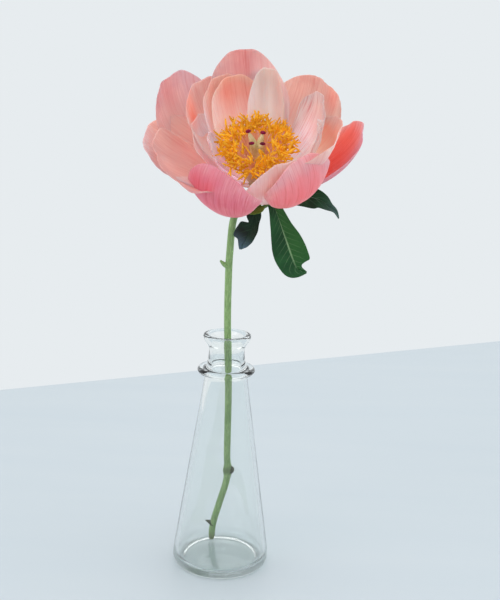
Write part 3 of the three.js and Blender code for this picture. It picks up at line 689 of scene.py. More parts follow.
def addStem(size, build):
    route = smoothRoute(stemRoute, size["steps"])
    t = np.linspace(0, 1, size["steps"])
    swollen = size["swell"] * np.exp(-(((route[:, 2] - size["jointHeight"]) / size["jointLength"]) ** 2))
    radii = size["radius"] * (1 - size["taper"] * t) + swollen
    radii = radii * (size["cutWidth"] + (1 - size["cutWidth"]) * smooth(-size["cutEdge"], size["cutEdge"], t))
    green = stemMaterial(stemLook)
    settle(grownStalks("stem", [(route, radii)], size["sides"], size["ridges"], green), "stem")
    steps = build["steps"]
    walk = np.linspace(0, 1, steps)
    for name, group, skin in (("stemBuds", stumps, materials["bud"]), ("stemShoot", [shoot], green)):
        stalks = [(smoothRoute(part["route"], steps), through(part["radii"], walk)) for part in group]
        settle(grownStalks(name, stalks, build["sides"], build["ridges"], skin), "stem")


addStem(stemSize, stumpBuild)
print("stem ready")


# The bloom's own frame: X its right, Y its back, Z its axis; the heart's is turned a little more
bloomPlace = {"middle": (17.5, -32, 241.6), "tilt": 36, "sway": -4}
heartPlace = {"aside": -2.2, "height": 20, "tilt": 10}


def bloomFrame(place):
    tilt, sway = math.radians(place["tilt"]), math.radians(place["sway"])
    axis = Vector((math.sin(sway) * math.cos(tilt), -math.sin(tilt), math.cos(sway) * math.cos(tilt)))
    axis.normalize()
    right = (Vector((1, 0, 0)) - axis * axis.x).normalized()
    turn = Matrix((right, axis.cross(right), axis)).transposed().to_4x4()
    return Matrix.Translation(Vector(place["middle"])) @ turn


bloom = bloomFrame(bloomPlace)
heart = bloom @ Matrix.Translation((heartPlace["aside"], 0, heartPlace["height"]))
heart = heart @ Matrix.Rotation(math.radians(heartPlace["tilt"]), 4, "X")


def placedBy(matrix, points):  # points of any grid shape, moved from their own frame to the world
    turn = np.array(matrix.to_3x3())
    return np.asarray(points) @ turn.T + np.array(matrix.translation)


def inMetres(matrix):
    scaled = matrix.copy()
    scaled.translation = matrix.translation * mm
    return scaled


# Petals: blades of a grid of points, thickened, with their colours painted on
petalBuild = {"rootThickness": 0.7, "rimThickness": 0.16, "cell": 1.05, "curveSteps": 160, "arcSteps": 20}
petalPlain = {
    "claw": 0, "roll": 0, "lift": 0, "out": 4, "ruffle": 1.5, "frill": 0.7, "fall": 0.4,
    "round": 2.7, "corner": 0.07, "trimFore": 0, "trimHind": 0, "flareHind": 0,
    "crimp": 0.22, "crumple": 0, "pleats": 0.1, "notch": 0.003, "curlFore": 0, "curlHind": 0,
    "veining": 0.35, "margin": "ccb9b2", "marginWidth": 0.1, "blush": (),
}

# One entry for each petal. az is the direction in which it grows, lean how far it leans out at its
# root, middle and tip, cup the arc across it, roll its turn about its own length. out and lift place its
# root, and claw narrows it there. Fore is its side of the smaller az, hind the other. fall, round and
# corner shape its end; trimFore and trimHind shorten a side of it, or lengthen it below 0, and flareHind
# widens the hind side. curlFore and curlHind bend a side's margin inwards or, below 0, outwards. ruffle,
# frill and crimp are waves from broad to fine, crumple lumps the fore side, and notch makes the rim uneven.
# inside and outside are its colours from root to rim; a blush is (across, along, size, colour, strength).
petals = {
    "petalBackLeftTall": {
        "az": 152, "length": 87, "width": 65, "lean": (90, 44, -6), "cup": 72, "claw": 0.85, "round": 2.9,
        "trimHind": 0.9, "inside": "e2b8b4 d8b4b0 cfb2ae c6a9a7 b27c83",
        "outside": "c4968d bc7672 bb7474 b97677", "margin": "b08c92",
        "blush": [(0.55, 0.93, 0.3, "b1a4ae", 0.8), (-0.75, 0.85, 0.3, "b29490", 0.6)]},
    "petalLeftUpper": {
        "az": 180, "length": 68, "width": 66, "lean": (74, 62, 38), "cup": 82, "lift": 5, "claw": 0.7,
        "trimHind": 0.2, "curlHind": -35, "inside": "e0b6ac dfb8ad dcb4ac d2a8a4 b9a0a4",
        "outside": "c69a8d bf8279 ba817c b88681", "margin": "b89ea2",
        "blush": [(0.6, 0.82, 0.4, "e4b4a9", 0.8), (0.95, 0.87, 0.15, "e8a496", 0.6)]},
    "petalLeftLower": {
        "az": 200, "length": 63, "width": 58, "lean": (84, 62, 26), "cup": 76, "lift": 8.5, "claw": 1.0,
        "roll": -4, "trimFore": -0.8, "trimHind": -0.75, "flareHind": 0.7, "curlFore": 45,
        "inside": "c48e8c cc9690 d6a299 d3a097 c6938c ae8584", "outside": "c69488 bc8077 ba817c b68683",
        "margin": "b08684",
        "blush": [(0.7, 0.62, 0.35, "dbb0a8", 0.7), (0.75, 0.9, 0.25, "d6a49a", 0.6),
                  (-0.9, 0.95, 0.2, "aa7276", 0.7), (0.1, 0.75, 0.25, "e0a498", 0.6)]},
    "petalBackDome": {
        "az": 107, "length": 76, "width": 51, "lean": (38, 30, 7), "cup": 85,
        "inside": "e8d8d8 ecdada e6d2d4 d0b8ba b08688", "outside": "c6a197 be8783 bb7979 b96c6c",
        "margin": "ae9092", "veining": 0.5,
        "blush": [(0, 0.99, 0.24, "b4787a", 0.7), (0.8, 0.88, 0.3, "d4bebe", 0.8),
                  (-0.75, 0.95, 0.25, "b0a4a8", 0.7)]},
    "petalBackHidden": {
        "az": 92, "length": 64, "width": 34, "lean": (42, 34, 12), "cup": 75,
        "inside": "ccb0a5 c5a19b c19792 be9794", "outside": "c6a197 be908a bb8b88 b98f8b"},
    "petalInnerBackLeft": {
        "az": 124, "length": 57, "width": 42, "lean": (46, 26, 0), "cup": 98, "lift": 8, "out": 6,
        "inside": "f6e8e6 f4e4e2 f2dcd8 ecc6be e0a094 cf8f81", "outside": "caa89c c58b79 c57965 c3745e",
        "margin": "d0a898", "marginWidth": 0.07,
        "blush": [(-0.8, 0.75, 0.35, "ddd0cf", 0.8), (-0.1, 0.86, 0.2, "e28a7a", 0.6),
                  (0.75, 0.85, 0.25, "e2b0a4", 0.6)]},
    "petalInnerLeftBack": {
        "az": 132, "length": 60, "width": 40, "lean": (50, 30, 2), "cup": 92, "lift": 7, "out": 6,
        "inside": "f0e4e2 eedcd8 ecd0ca e4b2a6 cc9f94", "outside": "caa194 c4887c c07e72 bf8a81",
        "margin": "cba49a", "marginWidth": 0.05, "blush": [(-0.9, 0.85, 0.25, "dad6de", 0.8)]},
    "petalInnerBack": {
        "az": 82, "length": 58, "width": 23, "lean": (40, 20, 6), "cup": 75, "lift": 9, "out": 6,
        "inside": "ece8e6 e6e2e2 dedcdc d4cac6 c4b6b0 b0a49c", "outside": "c6aea3 c19f94 c0978d bc9990",
        "margin": "bcb0aa", "veining": 0.15,
        "blush": [(0.6, 0.82, 0.3, "c2a39e", 0.7), (-0.85, 0.8, 0.35, "dad6d6", 0.8)]},
    "petalInnerLeftHigh": {
        "az": 143, "length": 63, "width": 52, "lean": (60, 38, 6), "cup": 95, "lift": 6, "out": 6,
        "inside": "f0dcd6 eed8d2 ead0c8 e2c0b6 c8a49f", "outside": "caa194 c4887c c07e72 bf8a81",
        "margin": "c4a29e",
        "blush": [(-0.45, 0.85, 0.2, "ee7c66", 0.9), (-0.95, 0.75, 0.22, "d4bebc", 0.7),
                  (0.1, 0.93, 0.3, "c8a8a4", 0.6)]},
    "petalBackRight": {
        "az": 43, "length": 69, "width": 67, "lean": (64, 42, 2), "cup": 100,
        "inside": "e8e2de e6e0dc e0d8d0 cfbdb5 bba69f ab847e", "outside": "c9a597 c38879 c08172 c08679",
        "margin": "ae8a84",
        "blush": [(-0.7, 0.97, 0.2, "b8aca8", 0.7), (-0.6, 0.75, 0.35, "d8b4ae", 0.6),
                  (0.5, 0.78, 0.22, "d4c2b8", 0.7), (0.3, 0.95, 0.14, "cc8276", 0.7)]},
    "petalInnerRight": {
        "az": 8, "length": 60, "width": 42, "lean": (52, 30, -6), "cup": 75, "lift": 7, "out": 6,
        "trimHind": -0.4, "crumple": 1.5, "inside": "f8f4fa f4f0fa ece2ec e2c0c0 ccaaa5 aca2a2",
        "outside": "d4d2d2 d0d2d4 c8cacc b8b0ae", "margin": "b0a4a4", "marginWidth": 0.13, "veining": 0.8,
        "blush": [(-0.95, 0.7, 0.25, "d4cccc", 0.7)]},
    # its inside stops from the middle to the rim are brighter than the petal is: painted light against the
    # shade the bloom casts there, on a coral colour of its own
    "petalRightRuffled": {
        "az": -9, "length": 64, "width": 56, "lean": (62, 40, 8), "cup": 140, "trimFore": -0.2,
        "curlFore": 15, "inside": "ece6e4 eae8e4 f0dcd4 f4bca8 f09c86 d0aca0",
        "outside": "d0a09c c89898 c29296 c0969a be9894", "margin": "c2a49f", "marginWidth": 0.12,
        "blush": [(0, 0.85, 0.2, "e8907c", 0.6), (0.3, 0.97, 0.2, "dcd2ce", 0.8)]},
    "petalInnerRightFrill": {
        "az": -3, "length": 52, "width": 20, "lean": (60, 32, -4), "cup": 40, "lift": 6, "out": 6,
        "ruffle": 2, "frill": 2, "notch": 0.05, "inside": "dccac8 dcc4c2 d6b8b6 d0b0af",
        "outside": "e6eeee e2ecec dae6e6 d0ccca", "margin": "cfc4c4", "marginWidth": 0.2},
    "petalRightFar": {
        "az": 4, "length": 70, "width": 42, "lean": (84, 54, 4), "cup": 120, "trimFore": 0.35,
        "inside": "e0a8a0 e08078 e0665c e0685e dc7a72 cc8890",
        "outside": "c88a8c b64e5b b6545e b85e66 c48a8c", "margin": "c09aa0", "marginWidth": 0.08,
        "veining": 0.5,
        "blush": [(0.25, 0.97, 0.3, "be7c90", 0.9), (0.85, 0.85, 0.3, "bc7484", 0.8),
                  (-0.5, 0.85, 0.22, "e4746a", 0.7), (-1.0, 0.8, 0.22, "eceae4", 0.95)]},
    "petalFrontRight": {
        "az": -48, "length": 64, "width": 54, "lean": (92, 36, -46), "cup": 105, "claw": 0.7, "roll": 8,
        "inside": "caa59e c58d8a c08181 c39496", "outside": "d0747a cc6468 de6668 e56e74 e4848a d2949b",
        "margin": "d0989f", "veining": 0.5,
        "blush": [(-0.95, 0.95, 0.25, "caadb4", 0.85), (0.95, 0.95, 0.18, "c46a6a", 0.75)]},
    "petalFrontMiddle": {
        "az": -65, "length": 54, "width": 45, "lean": (84, 29, -14), "cup": 68, "claw": 0.4,
        "inside": "caafa6 c59b8f c39c94 c1a1a1", "outside": "c8806f c08278 c8968e dcbcbc d2a6a2 c8a29e",
        "margin": "c4aaa8",
        "blush": [(0.9, 0.9, 0.25, "e0d0da", 0.8), (-0.6, 0.92, 0.3, "cabab9", 0.7),
                  (0.1, 0.6, 0.15, "c86a60", 0.8)]},
    "petalFrontLeft": {
        "az": -130, "length": 65, "width": 61, "lean": (106, 37, -49), "cup": 110, "out": 7, "claw": 0.7,
        "roll": -9, "trimFore": 1, "trimHind": -0.4, "inside": "caa59e c58d8a c08181 c39496",
        "outside": "d08088 ca6a74 cc646e cc6070 c66c7e c0788a", "margin": "c4808e", "veining": 0.5,
        "blush": [(0.8, 0.97, 0.2, "b0666c", 0.6)]},
    "petalInnerLeft": {
        "az": 170, "length": 50, "width": 44, "lean": (62, 42, 4), "cup": 90, "lift": 6, "out": 6,
        "inside": "f4d8e0 f0dce6 ead4dc e0c8cc d4c8c8 c8aca6", "outside": "d8a0a0 d4a4a4 c8a0a0 be9c9a",
        "margin": "c4a8a2", "marginWidth": 0.12,
        "blush": [(0.6, 0.75, 0.35, "dcdce2", 0.8), (-0.7, 0.6, 0.3, "cc8088", 0.85),
                  (0, 0.97, 0.13, "dba099", 0.7)]},
    "petalInnerLeftSmall": {
        "az": 186, "length": 41, "width": 24, "lean": (62, 36, -4), "cup": 90, "lift": 9, "out": 6,
        "inside": "f8e4ec f4dce6 e8c6d2 dccad4 d6d6e0 cac0c8", "outside": "dcc0c2 d8bcc0 ccaaae be9ca0",
        "margin": "c0b0b8", "marginWidth": 0.12},
    "petalInnerLeftWhite": {
        "az": 198, "length": 31, "width": 17, "lean": (64, 42, 8), "cup": 60, "lift": 9, "out": 7,
        "inside": "fff0f8 ffeaf6 fae0ee f0d2e0", "outside": "fcd4e6 f8d0e2 f4cade f0c8d6",
        "margin": "e4c4cc", "marginWidth": 0.15},
}


def petalWidth(t, claw):  # share of the full width at t along the petal
    opened = np.sin(math.pi / 2 * np.minimum(1, t / 0.68)) ** 0.9
    return (0.2 + 0.8 * opened) * (1 - claw * (1 - t) ** 2)


def petalSpine(p, t):  # middle line, the width's way and the inner side's at each t
    az = math.radians(p["az"])
    outward = np.array((math.cos(az), math.sin(az), 0))
    sideways = np.array((outward[1], -outward[0], 0))
    axis = np.array((0, 0, 1.0))

    def wayAt(s):
        angle = np.radians(through(p["lean"], s))[..., None]
        return axis * np.cos(angle) + outward * np.sin(angle)

    parts = petalBuild["curveSteps"]
    steps = wayAt((np.arange(parts) + 0.5) / parts) * p["length"] / parts
    places = np.vstack([np.zeros(3), np.cumsum(steps, axis=0)]) + outward * p["out"] + axis * p["lift"]
    even = np.linspace(0, 1, parts + 1)
    middle = np.stack([np.interp(t, even, places[:, i]) for i in range(3)], -1)
    inner = -np.cross(wayAt(t), sideways)
    turn = (math.radians(p["roll"]) * (0.3 + 0.7 * t))[..., None]
    cosine, sine = np.cos(turn), np.sin(turn)
    return middle, sideways * cosine + inner * sine, inner * cosine - sideways * sine


def petalWaves(p, seed, u, v, t):  # from the broad ruffle to the fine crimp at the rim
    side = np.abs(u)
    toRim = np.maximum(v, side * 0.96)
    wave = p["ruffle"] * t ** 2 * side ** 1.3 * np.sin(2.2 * math.pi * u + 3 * t)
    wave += p["frill"] * t ** 4 * np.sin(3 * math.pi * u)
    wave += p["crumple"] * smooth(0.3, 0.9, u) * smooth(0.25, 0.7, v) * ripples(seed + 8, 9.0, u, v * 1.6)
    wave += p["frill"] * 0.45 * smooth(0.7, 1.0, toRim) * ripples(seed + 2, 9.0, u * 1.2, v)
    return wave + p["crimp"] * smooth(0.8, 1.0, toRim) * ripples(seed + 9, 24.0, u * 1.2, v)


def petalSheet(p, seed, columns, rows):
    u, v = np.meshgrid(np.linspace(-1, 1, columns + 1), np.linspace(0, 1, rows + 1))
    side = np.abs(u)
    trim = np.where(u > 0, p["trimFore"], p["trimHind"])
    uneven = p["notch"] * (ripples(seed, 5.0, u) + 0.6 * ripples(seed + 1, 14.0, u)) * smooth(0.55, 1, v)
    rounded = p["corner"] * np.maximum(0, side - 0.85) ** 3 / 0.15 ** 3
    t = np.clip(v * (1 - p["fall"] * side ** p["round"] * (1 + trim) - rounded + uneven), 0, 1.04)
    middle, widthWay, face = petalSpine(p, t)
    halfWidth = p["width"] / 2 * petalWidth(t, p["claw"]) * np.where(u < 0, 1 + p["flareHind"] * t ** 5, 1)
    arc = math.radians(p["cup"]) / 2 * (0.35 + 0.65 * np.sin(math.pi * 0.75 * np.minimum(t, 1) ** 0.8))
    steps = petalBuild["arcSteps"]
    walk = u[..., None] * (np.arange(steps) + 0.5) / steps  # on the way from the middle line to each point
    curl = np.where(walk > 0, p["curlFore"], p["curlHind"]) * smooth(0.6, 1.0, np.abs(walk)) ** 1.5
    bend = arc[..., None] * walk + np.sign(walk) * np.radians(curl) * smooth(0.2, 0.6, v)[..., None]
    across = halfWidth * u * np.cos(bend).mean(-1)
    rise = halfWidth * u * np.sin(bend).mean(-1) + petalWaves(p, seed, u, v, t)
    grid = middle + widthWay * across[..., None] + face * rise[..., None]
    pleat = ripples(seed + 3, 26.0, u) * 0.6 + ripples(seed + 4, 2.6, u * 2, v) * 1.6
    pleat = p["pleats"] * pleat * smooth(0.02, 0.3, v)
    return grid + gridNormals(grid) * pleat[..., None], u, v


def colourAlong(stops, v):
    colours = np.array([tint(stop)[:3] for stop in stops.split()])
    places = np.linspace(0, 1, len(colours))
    return np.stack([np.interp(v, places, colours[:, i]) for i in range(3)], -1)


def towards(colour, code, share):
    return colour + (np.array(tint(code)[:3]) - colour) * share[..., None]


def petalSkin(p, seed, u, v, outer):
    streaked = np.clip(v + 0.05 * ripples(seed + 5, 12.0, u) + 0.03 * ripples(seed + 6, 4.0, u, v), 0, 1)
    colour = colourAlong(p["outside"] if outer else p["inside"], streaked)
    toRim = np.minimum(1 - v, (1 - np.abs(u)) * 0.8 + 0.02) + 0.02 * ripples(seed + 7, 9.0, u * 1.5, v)
    rim = (1 - smooth(0, p["marginWidth"] * 1.6, toRim)) * smooth(0.15, 0.5, v)
    colour = towards(colour, p["margin"], rim * 0.85)
    for across, along, size, code, strength in p["blush"]:
        near = np.exp(-(((u - across) ** 2 + (v - along) ** 2) / size ** 2))
        colour = towards(colour, code, strength * near)
    return np.concatenate([colour, np.ones(colour.shape[:2] + (1,))], -1)


def addPetal(name, values, seed):
    p, build = {**petalPlain, **values}, petalBuild
    columns, rows = int(p["width"] * 1.25 / build["cell"]), int(p["length"] / build["cell"])
    grid, u, v = petalSheet(p, seed, columns, rows)
    thickness = build["rimThickness"] + (build["rootThickness"] - build["rimThickness"]) * (1 - v) ** 1.5
    thickness = thickness * (0.35 + 0.65 * smooth(0, 0.12, 1 - np.abs(u)))
    points = placedBy(bloom, thickened(grid, thickness))
    skin = np.concatenate([petalSkin(p, seed, u, v, outer).reshape(-1, 4) for outer in (True, False)])
    place = np.stack([(u + 1) / 2 + seed, v], -1).reshape(-1, 2)  # each petal has its own part of the noise
    veining = np.full(len(points), p["veining"])
    piece = newPiece(name, points, shellFaces(rows, columns), materials["petal"],
                     {"skin": skin, "veining": veining}, np.concatenate([place, place + (0, 3)]))
    settle(piece, "petals")


for number, (name, values) in enumerate(petals.items()):
    addPetal(name, values, 11 * number + 5)  # a petal draws from ten seeds
print("petals ready")


# The receptacle: the fleshy middle that carries the petals, hidden between them
receptacle = {"neck": 3.2, "belly": 7.8, "top": 7.6, "height": 20, "steps": 40, "sides": 32, "ridges": 0.2}


def addReceptacle(size):
    toBloom = bloom.inverted()
    end, before = Vector(stemRoute[-1]), Vector(stemRoute[-2])
    way = (end - before).normalized()
    route = [tuple(toBloom @ (end + way * step)) for step in (0.3, 2.3)]  # from just past the stem's end
    route += [(0, 0, size["height"] / 2), (heartPlace["aside"] * 0.8, 0, size["height"] - 5)]
    route += [(heartPlace["aside"], 0, size["height"] - 0.7)]
    line = placedBy(bloom, smoothRoute(route, size["steps"]))
    t = np.linspace(0, 1, size["steps"])
    radii = through((size["neck"], size["belly"], size["top"]), t) * (1 - 0.25 * smooth(0.93, 1, t))
    flesh = materials["receptacle"]
    piece = grownStalks("receptacle", [(line, radii)], size["sides"], size["ridges"], flesh)
    settle(piece, "petals")


addReceptacle(receptacle)
print("receptacle ready")


# Leaves and sepals
def bladeSheet(blade):
    line = smoothRoute(blade["rib"], blade["rows"] + 1)
    along = unit(np.gradient(line, axis=0))
    v = np.linspace(0, 1, blade["rows"] + 1)
    u = np.linspace(-1, 1, blade["columns"] + 1)
    across = unit(np.cross(along, unit(blade["faces"])))
    normal = np.cross(across, along)

    def outline(widths):
        stops = smoothRoute([(i / (len(widths) - 1), w, 0) for i, w in enumerate(widths)], blade["steps"])
        return np.maximum(blade["leastWidth"], np.interp(v, stops[:, 0], stops[:, 1]))

    width = np.where(u[None, :] > 0, outline(blade["left"])[:, None], outline(blade["right"])[:, None])
    lift = width * np.abs(u) * blade["fold"] + blade["wave"] * u * np.sin(2.5 * math.pi * v)[:, None]
    lift = lift + blade["ripple"] * ripples(blade["seed"], 3.0, u[None, :] * 1.2, v[:, None] * 4)
    branch = np.abs(np.mod(v[:, None] * blade["veins"] - np.abs(u) * 2.2, 1) - 0.5) * 2
    lift = lift - blade["veinDepth"] * smooth(0.75, 1, branch) * (1 - smooth(0.4, 1, np.abs(u)))
    lift = lift - blade["ribDepth"] * np.exp(-((u * width / blade["ribWidth"]) ** 2))
    grid = line[:, None] + across[:, None] * (u * width)[..., None] + normal[:, None] * lift[..., None]
    return grid, np.broadcast_to(u, grid.shape[:2]), np.broadcast_to(v[:, None], grid.shape[:2])


# rib is a blade's middle line, left and right its half widths along it, faces the way its upper side looks.
bladePlain = {
    "fold": 0.12, "wave": 0.5, "ripple": 0.18, "veins": 8, "veinDepth": 0.05, "ribDepth": 0.45,
    "ribWidth": 0.5, "leastWidth": 0.12, "thickness": (0.7, 0.35), "seed": 3,
    "columns": 48, "rows": 120, "steps": 200,
}
leaves = {
    "leaf_left": {
        "skin": "leafLeft",
        "blade": {
            "rib": [(13.5, -29.5, 231.5), (13.7, -30, 227), (13.6, -30, 223), (12.6, -30, 219.5),
                    (9.8, -30, 214.5), (7.4, -30, 209.8), (6.6, -29.5, 207.4)],
            "left": [3.5, 4.2, 3, 7.9, 8, 3.6, 0.3], "right": [3.5, 4, 3.1, 4.1, 4.5, 3.5, 0.3],
            "faces": (-0.2, -1, 0.2), "wave": 0.9, "seed": 21},
        "stalk": {"route": [(9.8, -28.9, 231.2), (11.6, -29.7, 230.9), (13.6, -29.8, 229.8)], "radius": 1}},
    "leaf_centre": {
        "skin": "leafCentre",
        "blade": {
            "rib": [(22.6, -28.6, 235.8), (25.4, -29, 231), (29.4, -29, 221), (33.6, -29, 210.5),
                    (36.6, -29, 203), (39.6, -28.8, 197.4), (45, -28.2, 195.4)],
            "left": [2.4, 3.4, 4.4, 5.4, 6.4, 7.6, 8.7, 9.6, 9.9, 9.5, 8.4, 4.2, 0.5],
            "right": [2.8, 3.6, 4.4, 5.2, 6.1, 7.4, 8.6, 9.3, 9.7, 9.6, 8.6, 2.4, 0.3],
            "faces": (-0.15, -1, 0.25), "seed": 22},
        "stalk": {"route": [(12.3, -26.9, 231.8), (16, -27.4, 230.8), (20.5, -28.2, 233), (23, -28.7, 235.2)],
                  "radius": 1.1}},
    "leaf_right": {
        "skin": "leafRight",
        "blade": {
            "rib": [(24, -25, 238), (36, -26, 239), (45, -26, 238.3), (51, -26, 236.8),
                    (55.6, -26, 233.6), (59.5, -26, 231), (61.8, -26, 226.8)],
            "left": [1.5, 4.5, 6.2, 6.4, 4.6, 2, 0.3], "right": [1.5, 4.5, 5.6, 5.4, 4, 1.8, 0.3],
            "faces": (-0.1, -1, 0.4), "wave": 0.6, "seed": 23},
        "stalk": {"route": [(12.2, -24.4, 233.5), (17, -22.9, 234), (21, -24, 236.5), (25, -25.2, 238)],
                  "radius": 1}},
}
sepalBlades = [
    {"rib": [(17.6, -33.2, 233.2), (14, -34.8, 231), (8.2, -36.5, 229.6)], "faces": (0, -0.6, 0.8)},
    {"rib": [(10.5, -25.5, 234.5), (5, -23.5, 236.5), (-1, -22.5, 240.5)]},
    {"rib": [(14, -24.5, 236), (15.5, -19, 238), (17, -14.5, 243)]},
]
sepalPlain = {
    "left": [3, 4.4, 3.8, 0.4], "right": [3, 4.4, 3.8, 0.4], "faces": (0, -0.3, 1), "fold": 0.2,
    "wave": 0, "veins": 3, "columns": 28, "rows": 44,
}
calyx = {"behind": 3.4, "length": 3.6, "radius": 2.9, "bulge": 1.4, "steps": 20, "sides": 32, "ridges": 0.2}
leafStalk = {"steps": 24, "sides": 16, "ridges": 0.1}


def addBlade(name, values, node, material):
    blade = {**bladePlain, **values}
    grid, u, v = bladeSheet(blade)
    thick, thin = blade["thickness"]
    points = thickened(grid, thick + (thin - thick) * smooth(0.0, 1.0, np.abs(u)))
    place = np.stack([(u + 1) / 2, v], -1).reshape(-1, 2)
    piece = newPiece(name, points, shellFaces(blade["rows"], blade["columns"]), material, None,
                     np.concatenate([place, place]))
    settle(piece, node)


def addLeaves(build):
    for name, leaf in leaves.items():
        addBlade(name + "Blade", leaf["blade"], name, materials[leaf["skin"]])
        line = smoothRoute(leaf["stalk"]["route"], build["steps"])
        stalk = (line, np.full(build["steps"], leaf["stalk"]["radius"]))
        piece = grownStalks(name + "Stalk", [stalk], build["sides"], build["ridges"], materials["leafStalk"])
        settle(piece, name)


def addSepals(collar):  # the blades, and the green collar round the stem's end that they grow from
    for number, rib in enumerate(sepalBlades):
        addBlade(f"sepal{number + 1}", {**sepalPlain, **rib}, "sepals", materials["sepal"])
    end, before = np.array(stemRoute[-1], float), np.array(stemRoute[-2], float)
    way = unit(end - before)
    t = np.linspace(0, 1, collar["steps"])
    line = end - way * collar["behind"] + way * (t[:, None] * collar["length"])
    radii = collar["radius"] + collar["bulge"] * np.sin(math.pi * t) ** 0.6
    piece = grownStalks("calyxCollar", [(line, radii)], collar["sides"], collar["ridges"], materials["sepal"])
    settle(piece, "sepals")


addLeaves(leafStalk)
addSepals(calyx)
print("leaves and sepals ready")


# Stamens: a ring of filaments with twisted anthers, grown by geometry nodes
stamenSize = {
    "Count": 480, "Inner ring": 5.4, "Outer ring": 8.7, "Root height": 1.4, "Shortest": 12.0, "Longest": 16.5,
    "Inner splay": 16.0, "Outer splay": 38.0, "Back splay": 0.8, "Filament": 0.3, "Knee scatter": 0.9,
    "Tip scatter": 1.1, "Anther length": 5.2, "Anther width": 1.5, "Anther sink": 0.4, "Seed": 7,
}
stamenAngles = ("Inner splay", "Outer splay")  # in degrees
stamenPlain = ("Count", "Seed", "Back splay")  # numbers without a unit
seatOutline = [(0, 0.1), (8.4, 0.1), (9.1, 0.5), (9.1, 1.4), (8.6, 2.3), (7.4, 2.6), (0, 2.6)]
seatSegments = 48


def stamenLines(sheet, given):  # one short line for each stamen, and the stamen's number
    points = sheet.node("GeometryNodePoints", None, {"Count": given["Count"]})
    kept = sheet.node("GeometryNodeStoreNamedAttribute", {"data_type": "FLOAT"}, {
        "Geometry": points, "Name": "stamen", "Value": sheet.node("GeometryNodeInputIndex")})
    line = sheet.node("GeometryNodeCurvePrimitiveLine", None, {"End": (0, 0, 0.001)})
    walk = sheet.node("GeometryNodeResampleCurve", None, {"Curve": line, "Count": 9})
    copies = sheet.node("GeometryNodeInstanceOnPoints", None, {"Points": kept, "Instance": walk})
    lines = sheet.node("GeometryNodeRealizeInstances", None, {"Geometry": copies})
    return lines, sheet.node("GeometryNodeInputNamedAttribute", {"data_type": "FLOAT"}, {"Name": "stamen"})


def stamenTree():
    kinds = {name: "Int" if name in ("Count", "Seed") else "Float" for name in stamenSize}
    kinds |= {"Filament material": "Material", "Anther material": "Material"}
    tree, sheet, given = newTree("growStamens", kinds)
    lines, number = stamenLines(sheet, given)
    along = sheet.node("GeometryNodeSplineParameter")
    scaled, added, blend = sheet.scaled, sheet.added, sheet.blend

    def chance(low, high, salt):
        return sheet.node("FunctionNodeRandomValue", {"data_type": "FLOAT"},
                          {2: low, 3: high, 7: number, 8: given["Seed"] + salt}, 1)

    def anyWay(salt):
        return sheet.node("FunctionNodeRandomValue", {"data_type": "FLOAT_VECTOR"},
                          {0: (-1, -1, -1), 1: (1, 1, 1), 7: number, 8: given["Seed"] + salt}, 0)

    # each stamen's own root, way and tip; the golden angle spreads them, from the inner ring outwards
    outer = sheet.maths("SQRT", (number + 0.5) / given["Count"])
    az = number * (math.pi * (3 - math.sqrt(5)))
    outward = sheet.combine(sheet.maths("COSINE", az), sheet.maths("SINE", az), 0.0)
    toBack = sheet.maths("MAXIMUM", sheet.maths("SINE", az), 0.0)
    reach = 1.0 - (1.0 - given["Back splay"]) * toBack
    splay = (given["Inner splay"] + (given["Outer splay"] - given["Inner splay"]) * outer) * reach
    splay = splay + chance(-0.12, 0.12, 1)
    upright = sheet.combine(0.0, 0.0, sheet.maths("COSINE", splay))
    way = added(scaled(outward, sheet.maths("SINE", splay)), upright)
    stands = given["Inner ring"] + (given["Outer ring"] - given["Inner ring"]) * outer
    root = added(scaled(outward, stands), sheet.combine(0.0, 0.0, given["Root height"]))
    length = chance(given["Shortest"], given["Longest"], 2)
    tip = added(root, scaled(way, length), scaled(anyWay(3), given["Tip scatter"]))

    # the filament is a bend from root to tip that starts more upright
    rising = scaled(blend((0, 0, 1), way, 0.35), length * 0.55)
    knee = added(root, rising, scaled(anyWay(4), given["Knee scatter"]))
    bent = blend(blend(root, knee, along), blend(knee, tip, along), along)
    curves = sheet.node("GeometryNodeSetPosition", None, {"Geometry": lines, "Position": bent})
    thread = sheet.node("GeometryNodeCurvePrimitiveCircle", None,
                        {"Resolution": 3, "Radius": given["Filament"]})
    threads = sheet.swept(curves, thread, 1.0 - along * 0.3)

    # the anther is a curled and twisted bag of three lobes that starts a little below the filament's tip
    lean = sheet.vectors("NORMALIZE", added(scaled(way, 0.9), scaled(outward, 0.2), scaled(anyWay(5), 0.95)))
    curl = scaled(anyWay(6), given["Anther length"] * 0.45)
    far = along * given["Anther length"]
    sunk = scaled(way, given["Anther sink"] * -1.0)
    bent = added(tip, scaled(lean, far), scaled(curl, along * along), sunk)
    curves = sheet.node("GeometryNodeSetPosition", None, {"Geometry": lines, "Position": bent})
    twist = along * chance(-4.5, 4.5, 8) + chance(0.0, 6.28, 9)
    twisted = sheet.node("GeometryNodeSetCurveTilt", None, {"Curve": curves, "Tilt": twist})
    radii = {"Inner Radius": given["Anther width"] * 0.3, "Outer Radius": given["Anther width"] * 0.6}
    lobes = sheet.node("GeometryNodeCurveStar", None, {"Points": 3, **radii})
    flat = sheet.node("GeometryNodeTransform", None, {"Geometry": lobes, "Scale": (1.0, 0.55, 1.0)})
    full = sheet.maths("SINE", along * 2.7 + 0.25) ** 0.45 * chance(0.8, 1.1, 10)
    bags = sheet.swept(twisted, flat, full)

    both = sheet.node("GeometryNodeJoinGeometry")
    for part, skin in ((bags, "Anther material"), (threads, "Filament material")):
        coated = sheet.node("GeometryNodeSetMaterial", None, {"Geometry": part, "Material": given[skin]})
        tree.links.new(coated.socket, both.socket.node.inputs[0])
    sheet.finish(both)
    return tree


